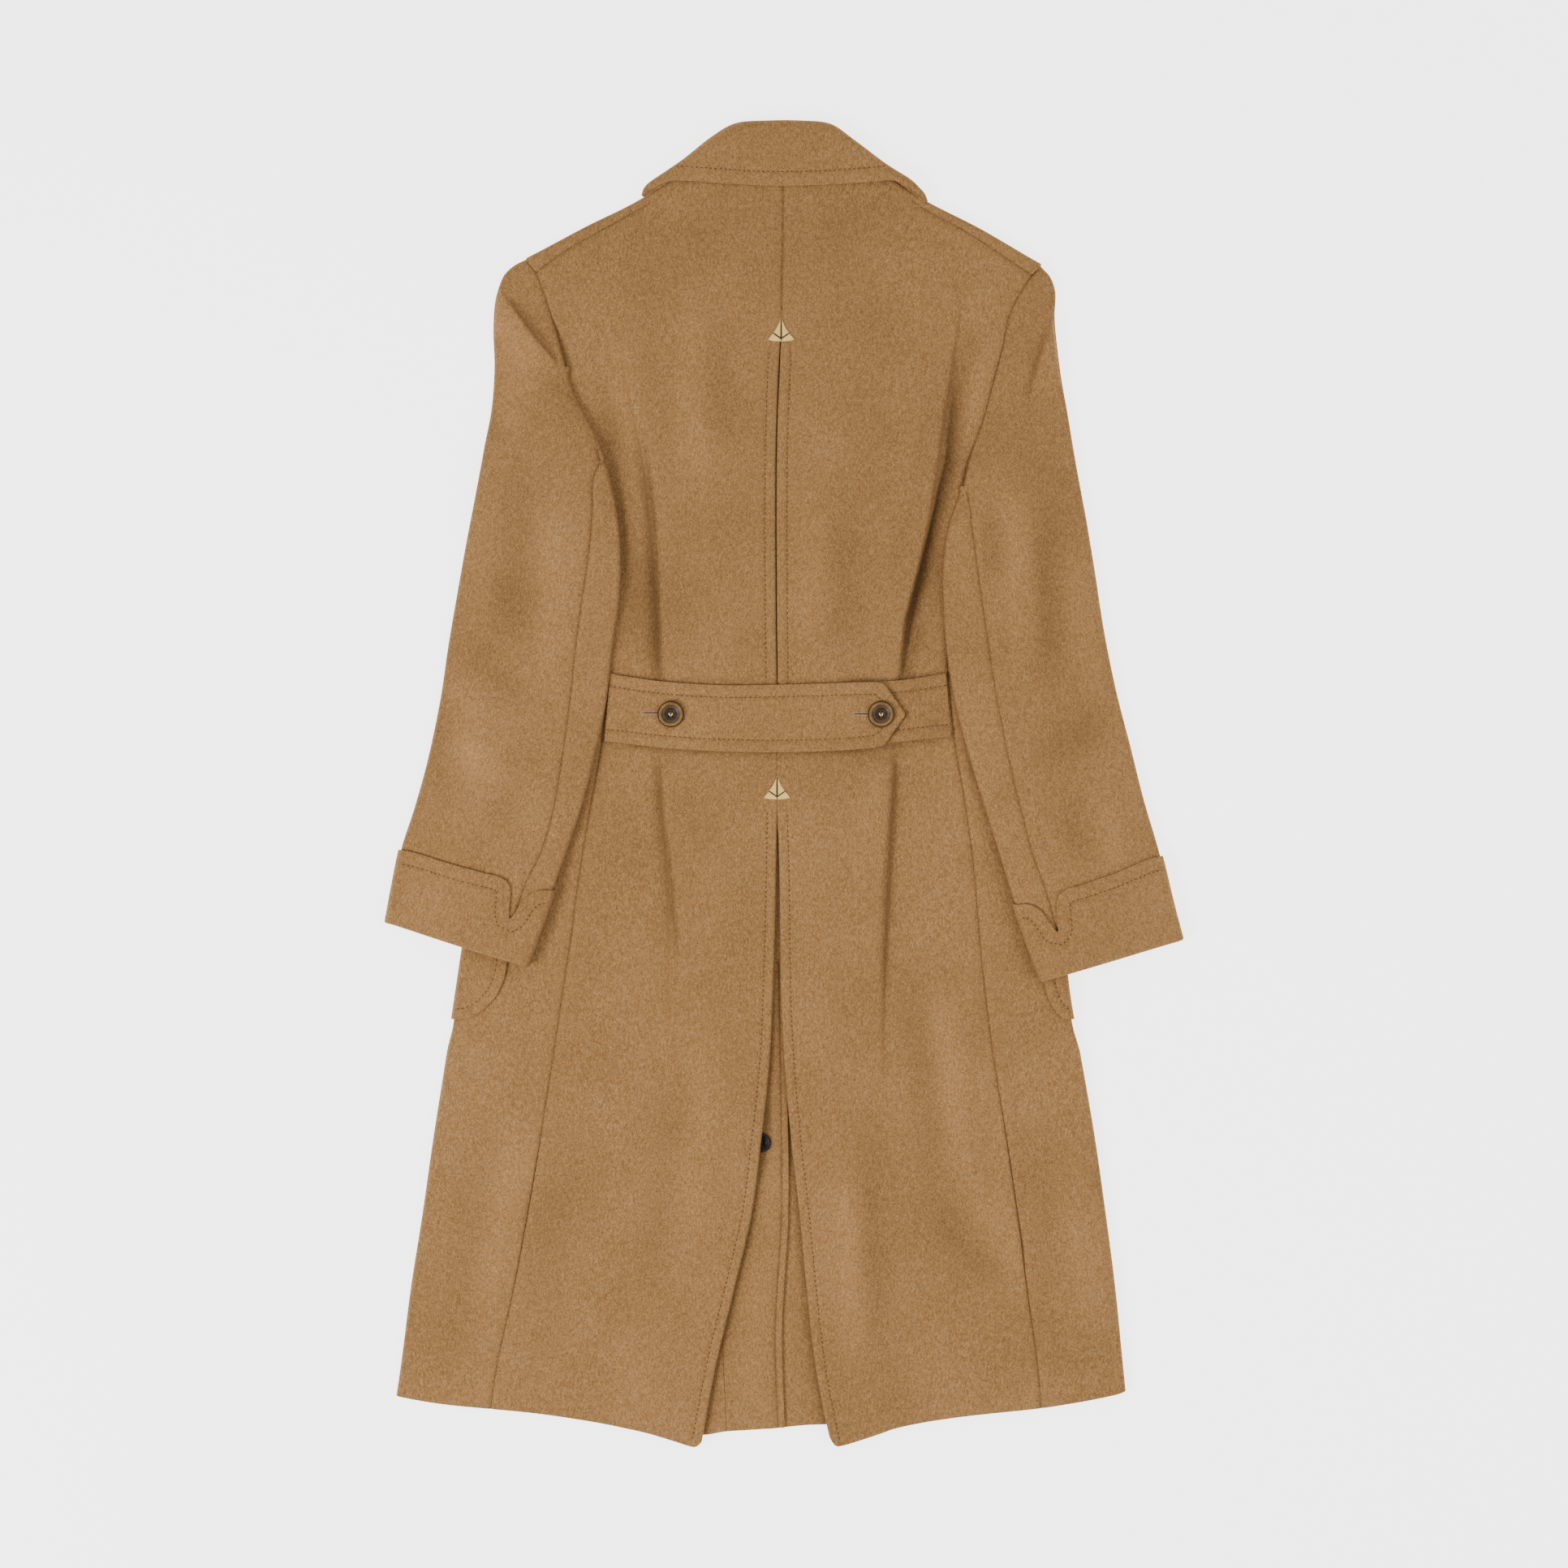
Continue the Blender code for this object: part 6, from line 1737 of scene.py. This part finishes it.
def add_buttonholes():
    """Keyhole buttonholes beside the belt's buttons: close stitches on both sides of a slit, with a dark
    thread of painted shadow in the slit.
    """
    trees = surface(["belt_long"])
    stitches, slit_shadows = [], []
    for (x, y), end_x in BUTTONHOLES:
        for place in np.arange(x, end_x, BUTTONHOLE_PITCH):
            for side in (-1, 1):
                stitches.append([drop(trees, place, y + side * reach) for reach in BUTTONHOLE_REACH])
        eye = x - EYE_OFFSET
        for turn in np.linspace(-EYE_TURN, EYE_TURN, EYE_STITCHES):
            way = Vector((-math.cos(turn), math.sin(turn)))
            stitches.append([drop(trees, eye + way.x * reach, y + way.y * reach) for reach in EYE_REACH])
        slit_shadows.append((drop(trees, x, y), drop(trees, end_x, y)))
    add_pills("buttonhole_stitches", stitches, BUTTONHOLE_THREAD, THREAD_LIGHT)
    # Painted shadow: a dark thread in each slit
    add_pills("buttonhole_slits", slit_shadows, SLIT_SHADOW_THREAD, SHADOW)


def tack_lines():
    """Stitches of an arrowhead tack from its middle, and the painted shadow lines between its petals."""
    threads, gap_shadows = [], [TACK_CENTRE_SHADOW]
    for side in (-1, 1):
        spine, top, length = TACK_SPINE
        width, tip, fall, bulge = TACK_LEAF
        for share in np.linspace(0.03, 1, TACK_LEAF_STITCHES):
            reach = share + bulge * math.sin(math.pi * share)
            threads.append(((side * spine, top - length * share), (side * width * share, tip - fall * reach)))
        (start, spread, start_y, rise), (end, end_spread, end_y, end_rise) = TACK_FOOT
        for share in np.linspace(0.0, 1, TACK_FOOT_STITCHES):
            inner = side * (start + spread * share), start_y + rise * share
            outer = side * (end + end_spread * share), end_y + end_rise * share ** 3
            threads.append((inner, outer))
        (low_x, low_y), (high_x, high_y) = TACK_SIDE_SHADOW
        gap_shadows.append(((side * low_x, low_y), (side * high_x, high_y)))
    return threads, gap_shadows


def add_tacks():
    """Arrowhead tacks: satin stitches in four petals round a centre line of painted shadow, laid on both
    backs.
    """
    trees = surface(["back_left", "back_right"])
    threads, gap_shadows = tack_lines()
    for name, (x, y) in TACKS.items():
        rows = []
        for line in threads + gap_shadows:
            ends = []
            for px, py in line:
                hits = [drop(trees, x + side * max(abs(px), TACK_RIDGE), y + py) for side in (-1, 1)]
                ends.append(Vector((x + px, y + py, max(hit.z for hit in hits if hit))))
            rows.append(ends)
        tack = add_pills("finish_tack_" + name, rows[:len(threads)], TACK_THREAD, SILK)
        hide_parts("tack_" + name)
        # Painted shadow: dark threads in the gaps between the petals
        add_pills("lines_tack_" + name, rows[len(threads):], TACK_SHADOW_LINE, SHADOW)


def noise_node(nodes, links, place, scale, detail, roughness=0.5):
    """Noise of one scale over the given places."""
    node = nodes.new("ShaderNodeTexNoise")
    node.inputs["Scale"].default_value = scale
    node.inputs["Detail"].default_value = detail
    node.inputs["Roughness"].default_value = roughness
    links.new(place, node.inputs["Vector"])
    return node


def ramp_node(nodes, links, source, stops):
    """Colours in the place of a value, by stops of a value and its colour."""
    node = nodes.new("ShaderNodeValToRGB")
    ramp = node.color_ramp
    while len(ramp.elements) < len(stops):
        ramp.elements.new(0.5)
    for element, (place, colour) in zip(ramp.elements, stops):
        element.position = place
        element.color = (*colour, 1.0)
    links.new(source, node.inputs["Fac"])
    return node


def mix_node(nodes, links, blend, share, one, two):
    """Two colours mixed by a blend mode and a share."""
    node = nodes.new("ShaderNodeMix")
    node.data_type = "RGBA"
    node.blend_type = blend
    node.inputs["Factor"].default_value = share
    links.new(one, node.inputs["A"])
    links.new(two, node.inputs["B"])
    return node.outputs["Result"]


def bump_node(nodes, links, source, strength, distance):
    """Small relief from a value; the distance is its height in metres."""
    node = nodes.new("ShaderNodeBump")
    node.inputs["Strength"].default_value = strength
    node.inputs["Distance"].default_value = distance
    links.new(source, node.inputs["Height"])
    return node


def new_material(name, roughness, specular):
    """Material with its nodes, links, shader and the piece's own coordinates."""
    material = bpy.data.materials.new(name)
    material.use_nodes = True
    tree = material.node_tree
    shader = tree.nodes["Principled BSDF"]
    shader.inputs["Roughness"].default_value = roughness
    shader.inputs["Specular IOR Level"].default_value = specular
    coordinates = tree.nodes.new("ShaderNodeTexCoord")
    return material, tree.nodes, tree.links, shader, coordinates.outputs["Object"]


def shifted(nodes, links, source):
    """Shift a value and keep it between 0 and 1, so that both the painted highlight on ridges and the painted
    shade in hollows fit a ramp.
    """
    node = nodes.new("ShaderNodeMath")
    node.operation = "ADD"
    node.use_clamp = True
    node.inputs[1].default_value = PAINTED_SHADE_SHIFT
    links.new(source, node.inputs[0])
    return node.outputs["Value"]


def camel_cloth(name, turn):
    """Brushed camel wool: a fine speckled nap whose fibres run along the piece, darkened by painted shade in
    hollows and lightened by painted highlight on ridges.
    """
    material, nodes, links, shader, place = new_material(name, 0.95, 0.08)
    mapping = nodes.new("ShaderNodeMapping")
    mapping.inputs["Rotation"].default_value = (0, 0, math.radians(turn))
    links.new(place, mapping.inputs["Vector"])
    stretched = nodes.new("ShaderNodeMapping")
    stretched.inputs["Scale"].default_value = (1.0, 0.55, 1.0)
    links.new(mapping.outputs["Vector"], stretched.inputs["Vector"])
    fibre = noise_node(nodes, links, stretched.outputs["Vector"], *FIBRE_NOISE)
    clump = noise_node(nodes, links, stretched.outputs["Vector"], *CLUMP_NOISE)
    cloud = noise_node(nodes, links, mapping.outputs["Vector"], *CLOUD_NOISE)
    lint = noise_node(nodes, links, stretched.outputs["Vector"], *LINT_NOISE)
    stops = [(0.30, NAP_DARK), (0.50, NAP), (0.70, NAP_LIGHT)]
    colour = ramp_node(nodes, links, fibre.outputs["Fac"], stops).outputs["Color"]
    for source, (low, high) in ((clump, CLUMP_SHADE), (cloud, CLOUD_SHADE)):
        ramp = ramp_node(nodes, links, source.outputs["Fac"], [
            (0.36, (low, low * 0.985, low * 0.96)), (0.64, (high, high, high))])
        colour = mix_node(nodes, links, "MULTIPLY", 1.0, colour, ramp.outputs["Color"])
    hairs = ramp_node(nodes, links, lint.outputs["Fac"], [(0.66, (0, 0, 0)), (0.76, LINT)])
    colour = mix_node(nodes, links, "ADD", 1.0, colour, hairs.outputs["Color"])
    # Painted shade and highlight: the wall's painted shade layer multiplies the colour
    depth = nodes.new("ShaderNodeAttribute")
    depth.attribute_name = "hollow"
    painted_light = ramp_node(nodes, links, shifted(nodes, links, depth.outputs["Fac"]), PAINTED_SHADE_STOPS)
    colour = mix_node(nodes, links, "MULTIPLY", 1.0, colour, painted_light.outputs["Color"])
    links.new(colour, shader.inputs["Base Color"])
    shader.inputs["Sheen Weight"].default_value = 0.05
    shader.inputs["Sheen Roughness"].default_value = 0.5
    shader.inputs["Sheen Tint"].default_value = SHEEN
    coarse = bump_node(nodes, links, clump.outputs["Fac"], 0.3, 0.0008)
    nap = bump_node(nodes, links, fibre.outputs["Fac"], 0.5, 0.0005)
    links.new(coarse.outputs["Normal"], nap.inputs["Normal"])
    links.new(nap.outputs["Normal"], shader.inputs["Normal"])
    return material


def plain_thread(name, dark, light, roughness=0.7):
    """Thread of one colour with a faint twist."""
    material, nodes, links, shader, place = new_material(name, roughness, 0.12)
    twist = noise_node(nodes, links, place, 1400, 2)
    ramp = ramp_node(nodes, links, twist.outputs["Fac"], [(0.35, dark), (0.65, light)])
    links.new(ramp.outputs["Color"], shader.inputs["Base Color"])
    bump = bump_node(nodes, links, twist.outputs["Fac"], 0.4, 0.0003)
    links.new(bump.outputs["Normal"], shader.inputs["Normal"])
    return material


def horn(name, stops, radius, roughness=0.34):
    """Polished horn with cloudy streaks, its colour going from the bowl to the rim."""
    material, nodes, links, shader, place = new_material(name, roughness, 0.15)
    mapping = nodes.new("ShaderNodeMapping")
    mapping.inputs["Scale"].default_value = (1.0, 3.0, 1.0)
    links.new(place, mapping.inputs["Vector"])
    flat = nodes.new("ShaderNodeVectorMath")
    flat.operation = "MULTIPLY"
    flat.inputs[1].default_value = (1 / (radius * MM), 1 / (radius * MM), 0)
    links.new(place, flat.inputs[0])
    reach = nodes.new("ShaderNodeVectorMath")
    reach.operation = "LENGTH"
    links.new(flat.outputs["Vector"], reach.inputs[0])
    colour = ramp_node(nodes, links, reach.outputs["Value"], stops).outputs["Color"]
    streak = noise_node(nodes, links, mapping.outputs["Vector"], 130, 4, 0.6)
    cloud_stops = [(0.32, (0.55, 0.5, 0.45)), (0.66, (1.35, 1.35, 1.35))]
    cloud = ramp_node(nodes, links, streak.outputs["Fac"], cloud_stops)
    colour = mix_node(nodes, links, "MULTIPLY", 0.8, colour, cloud.outputs["Color"])
    links.new(colour, shader.inputs["Base Color"])
    shader.inputs["Coat Weight"].default_value = 0.04
    shader.inputs["Coat Roughness"].default_value = 0.3
    return material


CLOTHS = {}
for name, turn, pieces in CLOTH_TURNS:
    CLOTHS.update(dict.fromkeys(pieces, camel_cloth(name, turn)))
THREAD = plain_thread("stitch_thread", *STITCH_COLOURS)
THREAD_LIGHT = plain_thread("buttonhole_thread", *BUTTONHOLE_COLOURS)
SILK = plain_thread("tack_thread", *SILK_COLOURS, 0.9)
SHADOW = plain_thread("slit_shadow", *SHADOW_THREAD_COLOURS)
HORN_FINISH = horn("belt_button_horn", HORN_STOPS, BUTTON_RADIUS)
DARK_FINISH = horn("vent_button_horn", DARK_STOPS, VENT_BUTTON_RADIUS, 0.45)

WALLS, EDGES, SHARES, BELT_EDGES = {}, {}, {}, {}
SIDES = {name: make_side(name) for name in ("left", "right")}
FRONT_HEM = curve_through(FRONT_HEM_LINE)

pocket_edges, cuff_edges = {}, {}
for coat_side in SIDES.values():
    add_back(coat_side)
    add_front(coat_side)
    pocket_edges[coat_side.name] = add_pocket(coat_side)
    add_sleeve(coat_side)
    cuff_edges[coat_side.name] = add_cuff(coat_side)
add_upper_underlay()
add_vent_underlays()
add_belts()
collar_edge = add_collar()
add_collar_stand()

for coat_side in SIDES.values():
    name, sign, centre = coat_side.name, coat_side.sign, coat_side.body["edge"]
    beside = [[(centre(y) + sign * PLEAT_STITCH, y) for y in np.arange(low, high, STITCHED_STEP)]
              for low, high in STITCHED_SPANS]
    add_stitches("back_" + name, beside, ["back_" + name])
    add_stitches("pocket_" + name, inset_lines(pocket_edges[name], POCKET_STITCH, -sign), ["pocket_" + name])
    add_stitches("cuff_" + name, inset_lines(cuff_edges[name], CUFF_STITCH, sign), ["cuff_" + name])
for name, edges in BELT_EDGES.items():
    lines = inset_lines(edges[0], BELT_STITCH, 1)
    if len(edges) > 1:
        lines += inset_lines(edges[1], BELT_STITCH, -1)
    add_stitches(name, lines, [name])
add_stitches("collar", inset_lines(collar_edge, COLLAR_STITCH, 1), ["collar"])
add_seam_line("vent_seam", UNDERLAY_SEAM, ["vent_underlay_left"])
add_buttons()
add_buttonholes()
add_tacks()


def add_stage():
    """Pale floor, soft studio light and the camera straight above."""
    bpy.ops.mesh.primitive_plane_add(size=FLOOR_SIZE, location=(0, 0, -FLOOR_DROP))
    floor = bpy.context.active_object
    floor.name = "floor"
    material, _, _, shader, _ = new_material("pale_floor", 0.9, 0.1)
    shader.inputs["Base Color"].default_value = (*FLOOR_COLOUR, 1.0)
    shader.inputs["Emission Color"].default_value = (1, 1, 1, 1)
    shader.inputs["Emission Strength"].default_value = FLOOR_GLOW
    floor.data.materials.append(material)
    for name, place, size, power in LIGHTS:
        data = bpy.data.lights.new(name, "AREA")
        data.shape = "SQUARE"
        data.size = size
        data.energy = power
        light = bpy.data.objects.new(name, data)
        bpy.context.scene.collection.objects.link(light)
        light.location = place
        light.rotation_euler = (-Vector(place)).to_track_quat("-Z", "Y").to_euler()
    world = bpy.data.worlds.new("studio")
    world.use_nodes = True
    background = world.node_tree.nodes["Background"]
    background.inputs["Color"].default_value = (1, 1, 1, 1)
    background.inputs["Strength"].default_value = WORLD_LIGHT
    bpy.context.scene.world = world
    data = bpy.data.cameras.new("camera")
    data.lens = LENS
    data.sensor_width = FILM_WIDTH
    data.clip_end = CLIP_END
    camera = bpy.data.objects.new("camera", data)
    bpy.context.scene.collection.objects.link(camera)
    camera.location = (0.0, 0.0, CAMERA_HEIGHT)
    bpy.context.scene.camera = camera


add_stage()
